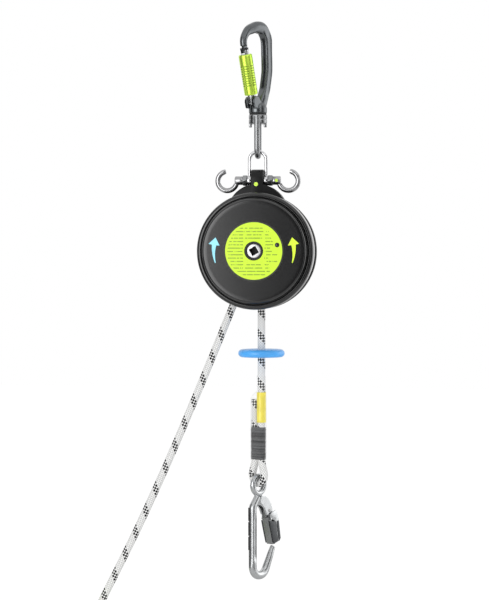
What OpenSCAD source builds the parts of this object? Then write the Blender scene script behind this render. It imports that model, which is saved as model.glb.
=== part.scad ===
// Two-way controlled descent device: a rope passes over a braked sheave in a round housing, which
// hangs from a swivel karabiner. Each rope end carries a stopper, a sewn eye and a snap hook.
// Millimetres. The origin is where the karabiner's inner top bears on its anchor.
// +X is to the right of the hand drive, +Y runs into the housing from its front, +Z is up.

/* [Rope] */
// Diameter of the rope
rope_d = 9.6; // [8:0.1:11]
// Radius that the rope's centre runs at on the sheave
sheave_pitch_r = 25; // [23:0.5:30]
// Radius of the rollers that lead the rope out of the housing
roller_r = 5.7; // [4.5:0.1:7]

/* [Housing] */
// Outer radius of the front and rear covers
cover_r = 73; // [73:1:90]
// Width of the step between the cover's outer rim and its raised face
cover_step = 8; // [6:0.5:9]
// Thickness of the cover walls
cover_wall = 3; // [2:0.2:3.6]
// Depth of the front cover from the load plate to the step
cover_rim_depth = 23.5; // [22:0.5:30]
// Height of the raised face above the step
cover_face_rise = 8.5; // [7:0.5:12]
// Depth of the rear cover
rear_depth = 12; // [11:0.5:20]
// Thickness of the load plate from front to back
plate_t = 24; // [24:0.5:30]
// Radius of the round label on the face
label_r = 37.5; // [25:0.5:40]

/* [Gears and brake] */
// Gear module
gear_m = 2; // [1.5:0.05:2.05]
// Face width of the gears
gear_w = 8; // [5:0.5:9]
// Diameter of the main shaft behind its head
shaft_d = 12; // [10:0.5:13]
// Width across flats of the square hand drive
drive_square = 9.5; // [6.3:0.1:10.5]
// Radial gap between the brake shoes and the drum at rest
brake_gap = 2.5; // [2.4:0.1:4]

/* [Hanging gear] */
// Diameter of the shackle pin
pin_d = 8; // [6:0.5:9]
// Diameter of the swivel link's rod
link_rod_d = 7; // [6:0.2:8]
// Diameter of the bow shackle's rod
bow_rod_d = 4.5; // [4:0.1:4.6]
// Diameter of the karabiner's main section
kb_rod_d = 12.8; // [11:0.2:14]
// Diameter of the karabiner's swivel boss
boss_d = 23; // [22:0.5:28]
// Outer diameter of the gate sleeve
sleeve_d = 17; // [14:0.5:18]
// Radius of each side horn, at the centre of its rod
horn_r = 12.1; // [11:0.1:15]
// Diameter of the side horns' rod
horn_rod_d = 6.5; // [5:0.1:8]

/* [Rope ends] */
// Diameter of the rope stoppers
stopper_d = 58.5; // [40:0.5:80]
// Thickness of the rope stoppers
stopper_t = 9.7; // [7:0.1:12]
// Radius of the snap hook's ring, at the centre of its section
hook_ring_r = 10.8; // [10.8:0.1:12]
// Diameter of the snap hook's ring section
hook_ring_d = 7.4; // [5:0.1:7.4]
// Diameter of the snap hook's main section
hook_rod_d = 9; // [7:0.1:10]

/* [Hidden] */
$fn = 48;

// Gap between pieces that touch across a joint, and running clearance of a pin in its bore
rest_gap = 0.3;
run_gap = 0.05;
// Chords that stand for one bend of a bar cut from plate
bend_chords = 6;
// Small overshoot that makes a cut pass through a face
cut = 1;

// Hanging gear: heights of the pieces below the anchor
boss_top_z = -90;
boss_bottom_z = -98.7;
washer_t = 1.6;
head_h = 11.7;
link_leg_y = 10.5;
link_bottom_z = -156;
pin_z = -183.1;
link_bar_z = link_bottom_z + link_rod_d / 2;
bow_top_z = link_bar_z + link_rod_d / 2 + 0.2 + bow_rod_d / 2;
lug_half_w = 7.7;
bow_eye_w = bow_rod_d + 0.4;
bow_leg_x = lug_half_w + rest_gap + bow_eye_w / 2;
bow_eye_r = pin_d / 2 + 2.4;
nut_flats = pin_d + 5;
nut_x0 = bow_leg_x + bow_eye_w / 2 + rest_gap;
nut_w = 5.5;
collar_x0 = nut_x0 + nut_w + 0.4;
collar_w = 9.7;
collar_d = pin_d + 3;
horn_x = collar_x0 + collar_w - 2.2 + horn_r;

// Karabiner, in its own plane: u along the plane, z up; it is turned about the vertical
kb_turn = 57;
kb_nose = [-27.5, -16.5];
kb_path = [kb_nose, [-29, -8], [-21, 3], [-5, 9], [8, 8.6], [16.5, -3], [18, -45], [13.5, -68], [4, -92]];
kb_bends = [14, 18, 20, 10, 16, 60, 30];
kb_crown_d = 16.5;
gate_hinge = [-11, -84];
gate_lean = 13.8;
gate_d = 10;
gate_bar_end = 58.5;
gate_fork_end = 66.5;
gate_eye_r = 5.3;
tongue_t = 5;
tongue_u = [-29, -23];
tongue_z = -25.2;
hinge_slot_t = 6.4;
hinge_block_t = 16;
hinge_pin_d = 4;
sleeve_from = 8;
sleeve_to = gate_bar_end;
detent_at = 30;
detent_h = 4;

// Housing: centre of the main shaft, and the stations along it from front (low) to back
housing_z = -272;
plate_y0 = -plate_t / 2;
plate_y1 = plate_t / 2;
plate_r = cover_r - 3;
face_r = cover_r - cover_step;
step_y = plate_y0 - cover_rim_depth;
face_y = step_y - cover_face_rise;
rear_y = plate_y1 + rear_depth;
shoulder_r = 38;
shoulder_z = housing_z + cover_r - 26.5;
lug_top_r = 12;
lug_top_z = pin_z + 1.9;
web_t = 3.5;
chamber_y0 = plate_y0 + web_t;
screw_angles = [0, 60, 120, 180, 212, 300];
screw_pcd_r = cover_r - 7.5;
screw_d = 4.2;
screw_head_d = 8.5;
boss_r = 5.6;
label_t = 0.6;
label_hole = [29.1, 7.4];
label_hole_r = 2.9;
seal_r = 11.75;
arrow_r = 50;

// Rope run: sheave, rollers and the tangent points between them
rope_r = rope_d / 2;
groove_gap = 0.3;
flange_r = sheave_pitch_r + 6;
sheave_w = 15;
chamber_r = flange_r + 2.5;
roller_w = 14;
roller_pin_d = 5;
roller_pitch_r = roller_r + rope_r + groove_gap;
right_strand_x = 4.5;
roller_right = [right_strand_x + roller_pitch_r, -37 - (sheave_pitch_r - 25)];
roller_left = [-28.8 - (roller_pitch_r - 10.8), -33 - (sheave_pitch_r - 25)];
left_exit_angle = 22.2;
exit_z = -67;
run_step = 15;

// Gears: a fixed ring, three planets on the main shaft's carrier and a sun on the brake hub
sun_teeth = 15;
planet_teeth = 15;
ring_teeth = sun_teeth + 2 * planet_teeth;
pressure = 25;
flank_gap = 0.32;
sun_pitch_r = gear_m * sun_teeth / 2;
planet_orbit_r = gear_m * (sun_teeth + planet_teeth) / 2;
planet_angles = [90, 210, 330];
gear_y1 = plate_y0 - 5;
gear_y0 = gear_y1 - gear_w;
carrier_t = 3;
carrier_y0 = gear_y1 + 1;
planet_pin_d = 6;
ring_outer_r = gear_m * ring_teeth / 2 + 12;

// Brake: hub turned by the sun, three pivoting shoes, fixed drum
hub_y1 = gear_y0 - 2;
hub_t = 3;
hub_y0 = hub_y1 - hub_t;
shoe_y1 = hub_y0 - 0.5;
shoe_w = 7;
shoe_y0 = shoe_y1 - shoe_w;
drum_outer_r = face_r - cover_wall - run_gap;
drum_r = drum_outer_r - 6;
shoe_r = drum_r - brake_gap;
shoe_t = 14;
shoe_pivot_r = shoe_r - shoe_t / 2;
shoe_sweep = 84;
shoe_pin_d = 6;
head_d = 18.2;
head_y0 = face_y + 1.2;
head_y1 = hub_y0 - 0.5;
socket_depth = 9.5;

// Rope ends, each in a frame that has the rope going down its z axis from the top of the clear sleeve
tail_gap = rope_d + 0.2;
upper_sleeve_l = 20;
strand_end = 100;
whip_z = [-65, -106];
eye_spread = 19 + (rope_d - 9.6);
eye_drop = 136.3;
tail_top = -30;
sleeve_wall = 0.7;
whip_t = 0.9;
label_tube_t = 0.7;
right_end = [right_strand_x, 0, -428.4];
left_end = [-226.2, 0, -768.3];
left_lean = 26.8;
end_turn = 148;
right_stop_z = -400.2;
left_stop = [-212.7, 0, -741.5];

// Snap hook, in its own plane with its origin on the axis that it swings about
hook_ring_z = rope_r + rest_gap + hook_ring_d / 2 - hook_ring_r;
hook_path = [[-2, -17], [-11.4, -29], [-11.4, -116.6], [11, -116.6], [29.3, -83]];
hook_bends = [8, 13, 14];
hook_hinge = [16, -35.3];
gate_foot = [[28.6, -79.2], [23, -79.6]];
hook_cheek_t = 2.4;
hook_gate_t = 5;
hook_pin_d = 4;
lever_pivot = [17, -46.5];
lever_pin_d = 3;

// Routes of the two free ropes
right_route = [
    [4.5, 0, -339], [4.5, 0, -360], [4.5, 0, -382], [4.5, 0, -404], [4.5, 0, -426],
    [4.5, 0, -448], [4.5, 0, -470], [4.5, 0, -492], [4.5, 0, -511], [4.5, 0, -528.4]
];
left_route = [
    [-31.3, 0, -339.7], [-41.5, 0, -364.7], [-51.7, 0, -389.7], [-62, 0, -414.7],
    [-72.4, 0, -439.7], [-82.9, 0, -464.7], [-93.5, 0, -489.7], [-104.3, 0, -514.7],
    [-115.2, 0, -539.7], [-126.4, 0, -564.7], [-137.8, 0, -589.7], [-149.5, 0, -614.7],
    [-161.5, 0, -639.7], [-173.9, 0, -664.7], [-186.5, 0, -689.7], [-199.1, 0, -714.7],
    [-212.7, 0, -741.5], [-226.2, 0, -768.3], [-237.5, 0, -790.6], [-248.8, 0, -813],
    [-260, 0, -835.3], [-271.2, 0, -857.3]
];
rope_sides = 10;

// ---- Shapes that repeat ----

// Straight round bar between two points of the XZ plane
module bar(a, b, d) {
    translate([a[0], 0, a[1]])
        rotate([0, atan2(b[0] - a[0], b[1] - a[1]), 0])
            cylinder(h = norm(b - a), d = d);
}

// Round bar along an arc of the XZ plane, angles counted from +X towards +Z
module arc_bar(centre, r, from, to, d) {
    translate([centre[0], 0, centre[1]])
        rotate([90, 0, 0]) rotate([0, 0, from])
            rotate_extrude(angle = to - from, $fn = 64) translate([r, 0]) circle(d = d);
}

// Unit vector and heading of the step from a to b
function unit(a, b) = (b - a) / norm(b - a);
function heading(v) = atan2(v[1], v[0]);
// Signed turn from direction v to direction w, in degrees
function turn(v, w) = atan2(v[0] * w[1] - v[1] * w[0], v * w);
// How far a bend of radius r shortens the two runs that meet at corner i
function trim(p, i, r) = r * tan(abs(turn(unit(p[i - 1], p[i]), unit(p[i], p[i + 1]))) / 2);

// Round bar along a path of the XZ plane with a bend of its own radius at each inner corner
module bent_bar(p, bends, d) {
    last = len(p) - 1;
    for (i = [0:last - 1]) {
        v = unit(p[i], p[i + 1]);
        a = i == 0 ? p[0] : p[i] + v * trim(p, i, bends[i - 1]);
        b = i == last - 1 ? p[last] : p[i + 1] - v * trim(p, i + 1, bends[i]);
        if (norm(b - a) > 0.01) bar(a, b, d);
    }
    for (i = [1:last - 1]) {
        v = unit(p[i - 1], p[i]);
        w = unit(p[i], p[i + 1]);
        side = turn(v, w) > 0 ? 1 : -1;
        r = bends[i - 1];
        start = p[i] - v * trim(p, i, r);
        centre = start + side * r * [-v[1], v[0]];
        from = heading(start - centre);
        sweep = turn(v, w);
        arc_bar(centre, r, sweep > 0 ? from : from + sweep, sweep > 0 ? from + sweep : from, d);
    }
}

// Points along the same kind of path, with each bend as a short run of chords
function bend_points(p, i, r) =
    let (
        v = unit(p[i - 1], p[i]),
        sweep = turn(v, unit(p[i], p[i + 1])),
        side = sweep > 0 ? 1 : -1,
        start = p[i] - v * trim(p, i, r),
        centre = start + side * r * [-v[1], v[0]],
        from = heading(start - centre)
    ) [for (k = [0:bend_chords]) centre + polar(r, from + sweep * k / bend_chords)];
function smooth_path(p, bends) = concat(
    [p[0]], [for (i = [1:len(p) - 2]) each bend_points(p, i, bends[i - 1])], [p[len(p) - 1]]
);

// Outline of a bar along a path: high_w wide above high_z, low_w below low_z, and tapered between
module stroke_2d(p, high_z, high_w, low_z, low_w) {
    last = len(p) - 1;
    edges = [for (side = [1, -1]) [
        for (i = [0:last])
            let (
                t = unit(p[max(i - 1, 0)], p[min(i + 1, last)]),
                share = min(1, max(0, (p[i][1] - low_z) / (high_z - low_z))),
                half = (low_w + (high_w - low_w) * share) / 2
            ) p[i] + side * half * [-t[1], t[0]]
    ]];
    polygon(concat(edges[0], [for (i = [last:-1:0]) edges[1][i]]));
}

// Extrudes a drawing of the XZ plane from y0 back to y1
module along_y(y0, y1) {
    translate([0, y1, 0]) rotate([90, 0, 0]) linear_extrude(height = y1 - y0) children();
}

// The same about the main shaft
module at_shaft(y0, y1) {
    translate([0, 0, housing_z]) along_y(y0, y1) children();
}

module ring_2d(r_out, r_in) {
    difference() {
        circle(r = r_out, $fn = 96);
        circle(r = r_in, $fn = 96);
    }
}

// Cylinder along X from x0 to x1 on the shackle pin's line
module along_pin(x0, x1, d) {
    translate([x0, 0, pin_z]) rotate([0, 90, 0]) cylinder(h = x1 - x0, d = d);
}

// Involute of the base circle, as an angle, for a flank point at radius r
function involute(a) = tan(a) * 180 / PI - a;
// Half the angle that a tooth fills at radius r, for pitch radius pr and half angle ha there
function tooth_half(r, pr, ha) =
    let (base = pr * cos(pressure))
        r <= base ? ha + involute(pressure) : ha + involute(pressure) - involute(acos(base / r));
function polar(r, a) = [r * cos(a), r * sin(a)];

// Gear outline with one tooth centred on angle phase; gap thins each tooth, or widens it if negative
module gear_2d(teeth, tip, root, gap, phase) {
    pr = gear_m * teeth / 2;
    ha = 90 / teeth - gap / (4 * pr) * 180 / PI;
    radii = [for (k = [0:4]) root + (tip - root) * k / 4];
    polygon([
        for (t = [0:teeth - 1]) let (a = phase + t * 360 / teeth) each concat(
            [for (k = [0:4]) polar(radii[k], a - tooth_half(radii[k], pr, ha))],
            [for (k = [4:-1:0]) polar(radii[k], a + tooth_half(radii[k], pr, ha))]
        )
    ]);
}

// Tube swept along a route by rings of equal sides; the route stays in the XZ plane
function route_dir(p, i) =
    let (a = p[max(i - 1, 0)], b = p[min(i + 1, len(p) - 1)]) (b - a) / norm(b - a);
module rope_tube(p, d) {
    n = rope_sides;
    last = len(p) - 1;
    points = [
        for (i = [0:last], k = [0:n - 1])
            let (t = route_dir(p, i), side = [-t[2], 0, t[0]], a = 360 * k / n)
                p[i] + d / 2 * (side * cos(a) + [0, 1, 0] * sin(a))
    ];
    walls = [
        for (i = [0:last - 1], k = [0:n - 1])
            let (j = (k + 1) % n) [i * n + k, i * n + j, (i + 1) * n + j, (i + 1) * n + k]
    ];
    polyhedron(
        points = points,
        faces = concat([[for (k = [n - 1:-1:0]) k]], walls, [[for (k = [0:n - 1]) last * n + k]])
    );
}

// ---- Karabiner and its gate ----

module kb_frame() {
    rotate([0, 0, kb_turn]) children();
}

// Moves children onto the gate's axis, which runs up z from the hinge
module gate_axis() {
    kb_frame() translate([gate_hinge[0], 0, gate_hinge[1]]) rotate([0, -gate_lean, 0]) children();
}

module hinge_bore(d, w) {
    kb_frame() translate([gate_hinge[0], w / 2, gate_hinge[1]])
        rotate([90, 0, 0]) cylinder(h = w, d = d);
}

module karabiner_body() {
    color("dimgray") difference() {
        union() {
            kb_frame() {
                along_y(-kb_rod_d / 2, kb_rod_d / 2) stroke_2d(
                    smooth_path(kb_path, kb_bends), -4, kb_crown_d, -18, kb_rod_d
                );
                translate([tongue_u[0], -tongue_t / 2, tongue_z])
                    cube([tongue_u[1] - tongue_u[0], tongue_t, kb_nose[1] - tongue_z + cut]);
                translate([gate_hinge[0] - 6, -hinge_block_t / 2, boss_top_z - 3])
                    cube([10, hinge_block_t, gate_hinge[1] - boss_top_z + 3]);
            }
            translate([0, 0, boss_bottom_z])
                cylinder(h = boss_top_z - boss_bottom_z, d = boss_d);
            hinge_bore(12, hinge_block_t);
        }
        kb_frame() translate([gate_hinge[0] - 12, -hinge_slot_t / 2, boss_top_z])
            cube([17.8, hinge_slot_t, 30]);
        translate([0, 0, boss_bottom_z - cut]) cylinder(h = 40, d = pin_d + 2 * run_gap);
        translate([0, 0, boss_top_z]) cylinder(h = 9, r = 5.3);
        hinge_bore(hinge_pin_d + 2 * run_gap, hinge_block_t + 2 * cut);
    }
}

module gate_pivot_pin() {
    color("silver") hinge_bore(hinge_pin_d, hinge_block_t - 1);
}

module karabiner_gate() {
    color("silver") difference() {
        union() {
            gate_axis() {
                translate([-4.5, -3, 0]) cube([9, 6, sleeve_from]);
                translate([0, 0, sleeve_from - 1]) cylinder(h = gate_fork_end - sleeve_from + 1, d = gate_d);
            }
            hinge_bore(2 * gate_eye_r, 6);
        }
        gate_axis() translate([-gate_d, -tongue_t / 2 - 0.4, gate_bar_end])
            cube([2 * gate_d, tongue_t + 0.8, 20]);
        hinge_bore(hinge_pin_d + 2 * run_gap, 10);
    }
}

module sleeve_detent_ring() {
    color("dimgray") gate_axis() translate([0, 0, detent_at]) difference() {
        cylinder(h = detent_h, d = gate_d + 3);
        translate([0, 0, -cut]) cylinder(h = detent_h + 2 * cut, d = gate_d + 2 * run_gap);
    }
}

module gate_sleeve() {
    color("greenyellow") gate_axis() difference() {
        translate([0, 0, sleeve_from]) cylinder(h = sleeve_to - sleeve_from, d = sleeve_d);
        cylinder(h = 80, d = gate_d + 2 * run_gap);
        translate([0, 0, detent_at - run_gap])
            cylinder(h = detent_h + 2 * run_gap, d = gate_d + 3 + 2 * run_gap);
        translate([0, -1.5, sleeve_to - 13]) cube([20, 3, 20]);
        translate([0, -1.5, sleeve_from - cut]) cube([20, 3, 9]);
    }
}

// ---- Swivel, link and bow shackle ----

module swivel_bolt() {
    color("silver") {
        translate([0, 0, boss_top_z]) cylinder(h = 3.4, d = 9.6);
        translate([0, 0, boss_bottom_z - washer_t - 8])
            cylinder(h = 8 + washer_t + boss_top_z - boss_bottom_z + 0.1, d = pin_d);
    }
}

module swivel_washer() {
    color("black") translate([0, 0, boss_bottom_z - washer_t]) difference() {
        cylinder(h = washer_t, d = boss_d - 1.5);
        translate([0, 0, -cut]) cylinder(h = 10, d = pin_d + 2 * run_gap);
    }
}

module swivel_head() {
    top = boss_bottom_z - washer_t;
    color("gray") difference() {
        union() {
            translate([0, 0, top - head_h]) cylinder(h = head_h, d = boss_d);
            intersection() {
                translate([0, 0, top - head_h - 4.5]) cylinder(h = 5, d = boss_d);
                for (side = [-1, 1]) translate([side * 9.6 - 1.8, -3, top - head_h - 5]) cube([3.6, 6, 6]);
            }
        }
        translate([0, 0, top - 8 - cut]) cylinder(h = 20, d = pin_d + 2 * run_gap);
        for (side = [-1, 1]) translate([0, side * link_leg_y, top - head_h - cut])
            cylinder(h = head_h - 1, d = link_rod_d + 2 * run_gap);
    }
}

module link_bow() {
    top = boss_bottom_z - washer_t - 2.1;
    color("gray") rotate([0, 0, 90]) bent_bar(
        [[-link_leg_y, top], [-link_leg_y, link_bar_z], [link_leg_y, link_bar_z], [link_leg_y, top]],
        [link_leg_y - 0.05, link_leg_y - 0.05], link_rod_d
    );
}

module bow_shackle() {
    crown_z = bow_top_z - bow_leg_x;
    color("silver") difference() {
        union() {
            arc_bar([0, crown_z], bow_leg_x, 0, 180, bow_rod_d);
            for (side = [-1, 1]) {
                bar([side * bow_leg_x, pin_z], [side * bow_leg_x, crown_z], bow_rod_d);
                along_pin(side * bow_leg_x - bow_eye_w / 2, side * bow_leg_x + bow_eye_w / 2, 2 * bow_eye_r);
            }
        }
        along_pin(-bow_leg_x - 5, bow_leg_x + 5, pin_d + 2 * run_gap);
    }
}

// ---- Pin, nuts and horns ----

module shackle_pin() {
    reach = collar_x0 + collar_w - 1;
    color("silver") along_pin(-reach, reach, pin_d);
}

module pin_nuts() {
    color("gray") for (side = [-1, 1]) difference() {
        translate([side * (nut_x0 + nut_w / 2) - nut_w / 2, 0, pin_z]) rotate([0, 90, 0])
            cylinder(h = nut_w, r = nut_flats / 2 / cos(30), $fn = 6);
        along_pin(-40, 40, pin_d + 2 * run_gap);
    }
}

module horn(side) {
    color("silver") difference() {
        union() {
            mirror([side < 0 ? 1 : 0, 0, 0]) {
                along_pin(collar_x0, collar_x0 + collar_w, collar_d);
                arc_bar([horn_x, pin_z - 0.4], horn_r, 200, 441, horn_rod_d);
            }
        }
        along_pin(-(collar_x0 + collar_w - 1), collar_x0 + collar_w - 1, pin_d + 2 * run_gap);
        if (side > 0) translate([collar_x0 + collar_w / 2, -pin_d / 2, pin_z])
            rotate([90, 0, 0]) cylinder(h = 4, d = 4 + 2 * run_gap);
    }
}

module seal_screws() {
    color("greenyellow") {
        translate([collar_x0 + collar_w / 2, -pin_d / 2 - 0.1, pin_z])
            rotate([90, 0, 0]) cylinder(h = 1.8, d = 4);
        translate([-1, plate_y0, pin_z - 5]) rotate([90, 0, 0]) cylinder(h = 0.8, d = 5);
    }
}

// ---- Housing ----

module lug_2d() {
    translate([-lug_half_w, lug_top_z - shoulder_r]) square([2 * lug_half_w, shoulder_r + lug_top_r]);
}

// Round bars or holes of diameter d at the cover screws
module at_screws(y0, y1, d) {
    at_shaft(y0, y1) for (a = screw_angles) translate(polar(screw_pcd_r, a)) circle(d = d);
}

// Outline of the space that the rope fills below the sheave
module rope_space_2d() {
    polygon([
        [roller_left[0] - roller_r - 3, -13], [roller_right[0] + roller_r + 9, -13],
        [roller_right[0] + roller_r + 3, -42], [right_strand_x + rope_r + 4, -cover_r - 5],
        [roller_left[0] - rope_r - 15, -cover_r - 5], [roller_left[0] - roller_r - 4, -42]
    ]);
}

module load_plate() {
    color("#202124") difference() {
        union() {
            at_shaft(plate_y0, plate_y1) circle(r = plate_r, $fn = 96);
            translate([0, 0, shoulder_z]) along_y(plate_y0, plate_y1) circle(r = shoulder_r, $fn = 96);
            intersection() {
                along_y(plate_y0, plate_y1) lug_2d();
                union() {
                    translate([0, 0, lug_top_z]) rotate([0, 90, 0])
                        cylinder(h = 40, r = plate_t / 2, center = true);
                    translate([-20, plate_y0, lug_top_z - 60]) cube([40, plate_t, 60]);
                }
            }
        }
        for (side = [-1, 1]) along_pin(
            side > 0 ? lug_half_w : -(nut_x0 + nut_w + 0.6),
            side > 0 ? nut_x0 + nut_w + 0.6 : -lug_half_w, max(2 * bow_eye_r, nut_flats / cos(30)) + 1.4
        );
        along_pin(-40, 40, pin_d + 2 * run_gap);
        at_shaft(chamber_y0, plate_y1 + cut) {
            circle(r = chamber_r, $fn = 96);
            rope_space_2d();
        }
        at_shaft(plate_y0 - cut, chamber_y0 + cut) circle(r = shaft_d / 2 + 4 + run_gap);
        at_screws(plate_y0 - cut, plate_y1 + cut, screw_d + 2 * run_gap);
        at_shaft(chamber_y0 - 2, chamber_y0 + cut) roller_places() circle(d = roller_pin_d + 2 * run_gap);
    }
}

module roller_places() {
    for (p = [roller_left, roller_right]) translate(p) children();
}

module front_cover() {
    color("#1b1c1e") difference() {
        union() {
            difference() {
                union() {
                    at_shaft(step_y, plate_y0) circle(r = cover_r, $fn = 96);
                    at_shaft(face_y, step_y) circle(r = face_r, $fn = 96);
                }
                at_shaft(step_y + cover_wall, plate_y0 + cut) circle(r = cover_r - cover_wall, $fn = 96);
                at_shaft(face_y + cover_wall, step_y + cover_wall + cut)
                    circle(r = face_r - cover_wall, $fn = 96);
            }
            at_shaft(plate_y0 - 8, plate_y0) intersection() {
                circle(r = cover_r - 1);
                for (a = screw_angles) translate(polar(screw_pcd_r, a)) circle(r = boss_r);
            }
        }
        at_shaft(face_y - cut, face_y + 10) circle(r = seal_r);
        at_screws(plate_y0 - 7, plate_y0 + cut, screw_d + 2 * run_gap);
        at_shaft(face_y - cut, face_y + 1.2) translate(label_hole) circle(r = label_hole_r);
    }
}

module rear_cover() {
    color("#1b1c1e") difference() {
        union() {
            at_shaft(rear_y - cover_wall, rear_y) circle(r = cover_r, $fn = 96);
            at_shaft(plate_y1, rear_y) {
                ring_2d(cover_r, cover_r - cover_wall);
                intersection() {
                    circle(r = cover_r - 1);
                    for (a = screw_angles) translate(polar(screw_pcd_r, a)) circle(r = boss_r + 1);
                }
                roller_places() circle(d = roller_pin_d + 7);
            }
            at_shaft(sheave_w / 2 + 1, rear_y) circle(r = shaft_d / 2 + 8);
        }
        at_shaft(sheave_w / 2, rear_y - cover_wall) circle(r = shaft_d / 2 + 4 + run_gap);
        at_screws(plate_y1 - cut, rear_y + cut, screw_d + 2 * run_gap);
        at_screws(rear_y - 5, rear_y + cut, screw_head_d + 0.4);
        at_shaft(plate_y1 - cut, plate_y1 + 4.5) roller_places() circle(d = roller_pin_d + 2 * run_gap);
        at_shaft(plate_y1 - cut, plate_y1 + 1.5) exit_relief_2d();
    }
}

// Clears the rope where it leaves the housing at the bottom
module exit_relief_2d() {
    intersection() {
        rope_space_2d();
        translate([-60, -cover_r - 5]) square([120, cover_r - 45]);
    }
}

module cover_screws() {
    color("black") {
        at_screws(plate_y0 - 6, rear_y - 4.9, screw_d);
        at_screws(rear_y - 5, rear_y - 0.8, screw_head_d);
    }
}

module rating_label() {
    color("greenyellow") at_shaft(face_y - label_t, face_y) difference() {
        circle(r = label_r, $fn = 96);
        circle(r = seal_r + run_gap);
        translate(label_hole) circle(r = label_hole_r);
    }
}

// Curved arrow that points up and follows the face's rim; side is -1 on the left and 1 on the right
module arrow_2d(side) {
    tail = [for (k = [0:8]) -17 + k * 3.2];
    mirror([side < 0 ? 1 : 0, 0]) polygon(concat(
        [for (a = tail) polar(arrow_r - 0.5 - 2.2 * (a + 17) / 25.6, a)],
        [polar(arrow_r - 7, 9), polar(arrow_r + 0.5, 19.5), polar(arrow_r + 7, 9)],
        [for (k = [8:-1:0]) polar(arrow_r + 0.5 + 2.2 * (tail[k] + 17) / 25.6, tail[k])]
    ));
}

module arrow_blue() {
    color("#7fe8ff") at_shaft(face_y - 0.3, face_y) arrow_2d(-1);
}

module arrow_lime() {
    color("#e6ff32") at_shaft(face_y - 0.3, face_y) arrow_2d(1);
}

module shaft_seal() {
    color("black") {
        at_shaft(face_y - label_t - 0.3, face_y + cover_wall) ring_2d(seal_r - run_gap, head_d / 2 + run_gap);
        at_shaft(face_y + cover_wall, face_y + cover_wall + 2) ring_2d(seal_r + 3, head_d / 2 + run_gap);
    }
}

module shaft_bushes() {
    color("goldenrod") {
        at_shaft(plate_y0, chamber_y0) ring_2d(shaft_d / 2 + 4, shaft_d / 2 + run_gap);
        at_shaft(sheave_w / 2 + 1, rear_y - cover_wall) ring_2d(shaft_d / 2 + 4, shaft_d / 2 + run_gap);
    }
}

module rope_guide() {
    slope = tan(left_exit_angle);
    left_x = roller_left[0] + roller_pitch_r * cos(left_exit_angle) + (rope_r + 2) / cos(left_exit_angle);
    top = roller_left[1] - 11;
    bottom = -plate_r + 4;
    right_x = right_strand_x - rope_r - 2;
    drop = roller_left[1] - roller_pitch_r * sin(left_exit_angle);
    color("#2b2b2d") at_shaft(chamber_y0, plate_y1) polygon([
        [left_x + (top - drop) * slope + 2, top], [right_x, top], [right_x, bottom],
        [left_x + (bottom - drop) * slope, bottom]
    ]);
}

module roller_pins() {
    color("silver") at_shaft(chamber_y0 - 2, plate_y1 + 4) roller_places() circle(d = roller_pin_d);
}

module guide_roller(place) {
    color("ivory") at_shaft(-roller_w / 2, roller_w / 2) translate(place) difference() {
        circle(r = roller_r);
        circle(d = roller_pin_d + 2 * run_gap);
    }
}

// ---- Shaft, sheave, gears and brake ----

module main_shaft() {
    color("silver") difference() {
        union() {
            at_shaft(head_y0, head_y1) circle(d = head_d);
            at_shaft(head_y1, rear_y - cover_wall - 0.5) circle(d = shaft_d);
        }
        at_shaft(head_y0 - cut, head_y0 + socket_depth)
            rotate(30) square([drive_square, drive_square], center = true);
    }
}

module rope_sheave() {
    groove_r = rope_r + groove_gap;
    color("silver") translate([0, 0, housing_z]) rotate([90, 0, 0]) difference() {
        cylinder(h = sheave_w, r = flange_r, center = true, $fn = 96);
        cylinder(h = sheave_w + 2, d = shaft_d + 2 * run_gap, center = true);
        rotate_extrude($fn = 96) union() {
            translate([sheave_pitch_r, 0]) circle(r = groove_r);
            translate([sheave_pitch_r, -groove_r]) square([20, 2 * groove_r]);
        }
    }
}

module planet_carrier() {
    color("gray") difference() {
        union() {
            at_shaft(carrier_y0, carrier_y0 + carrier_t) circle(r = planet_orbit_r + 6, $fn = 96);
            at_shaft(gear_y0 - 0.5, carrier_y0 + 0.1)
                for (a = planet_angles) translate(polar(planet_orbit_r, a)) circle(d = planet_pin_d);
        }
        at_shaft(carrier_y0 - 20, carrier_y0 + 20) circle(d = shaft_d + 2 * run_gap);
    }
}

module planet(k) {
    a = planet_angles[k - 1];
    tip = gear_m * (planet_teeth / 2 + 1);
    color("darkgoldenrod") at_shaft(gear_y0, gear_y1) translate(polar(planet_orbit_r, a)) difference() {
        gear_2d(planet_teeth, tip, tip - 2.25 * gear_m, flank_gap, a);
        circle(d = planet_pin_d + 2 * run_gap);
    }
}

module ring_gear() {
    pr = gear_m * ring_teeth / 2;
    color("gray") {
        at_shaft(gear_y0, gear_y1) difference() {
            circle(r = ring_outer_r, $fn = 96);
            gear_2d(ring_teeth, pr + 1.25 * gear_m, pr - gear_m, -flank_gap, planet_angles[0]);
        }
        at_shaft(gear_y1 - 0.1, plate_y0) ring_2d(ring_outer_r, pr + 1.25 * gear_m + 1);
    }
}

module sun_gear() {
    tip = gear_m * (sun_teeth / 2 + 1);
    color("darkgoldenrod") difference() {
        union() {
            at_shaft(gear_y0, gear_y1 - 0.5)
                gear_2d(sun_teeth, tip, tip - 2.25 * gear_m, flank_gap, planet_angles[0]);
            at_shaft(hub_y1, gear_y0 + 0.1) circle(r = sun_pitch_r - 1.25 * gear_m);
        }
        at_shaft(hub_y1 - 20, gear_y1 + 20) circle(d = shaft_d + 2 * run_gap);
    }
}

module brake_hub() {
    color("gray") difference() {
        union() {
            at_shaft(hub_y0, hub_y1) circle(r = shoe_pivot_r + 5, $fn = 96);
            at_shaft(shoe_y0, hub_y0 + 0.1) shoe_pivots() circle(d = shoe_pin_d);
        }
        at_shaft(hub_y0 - 20, hub_y1 + cut) circle(d = shaft_d + 2 * run_gap);
    }
}

module shoe_pivots() {
    for (a = planet_angles) translate(polar(shoe_pivot_r, a)) children();
}

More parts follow.
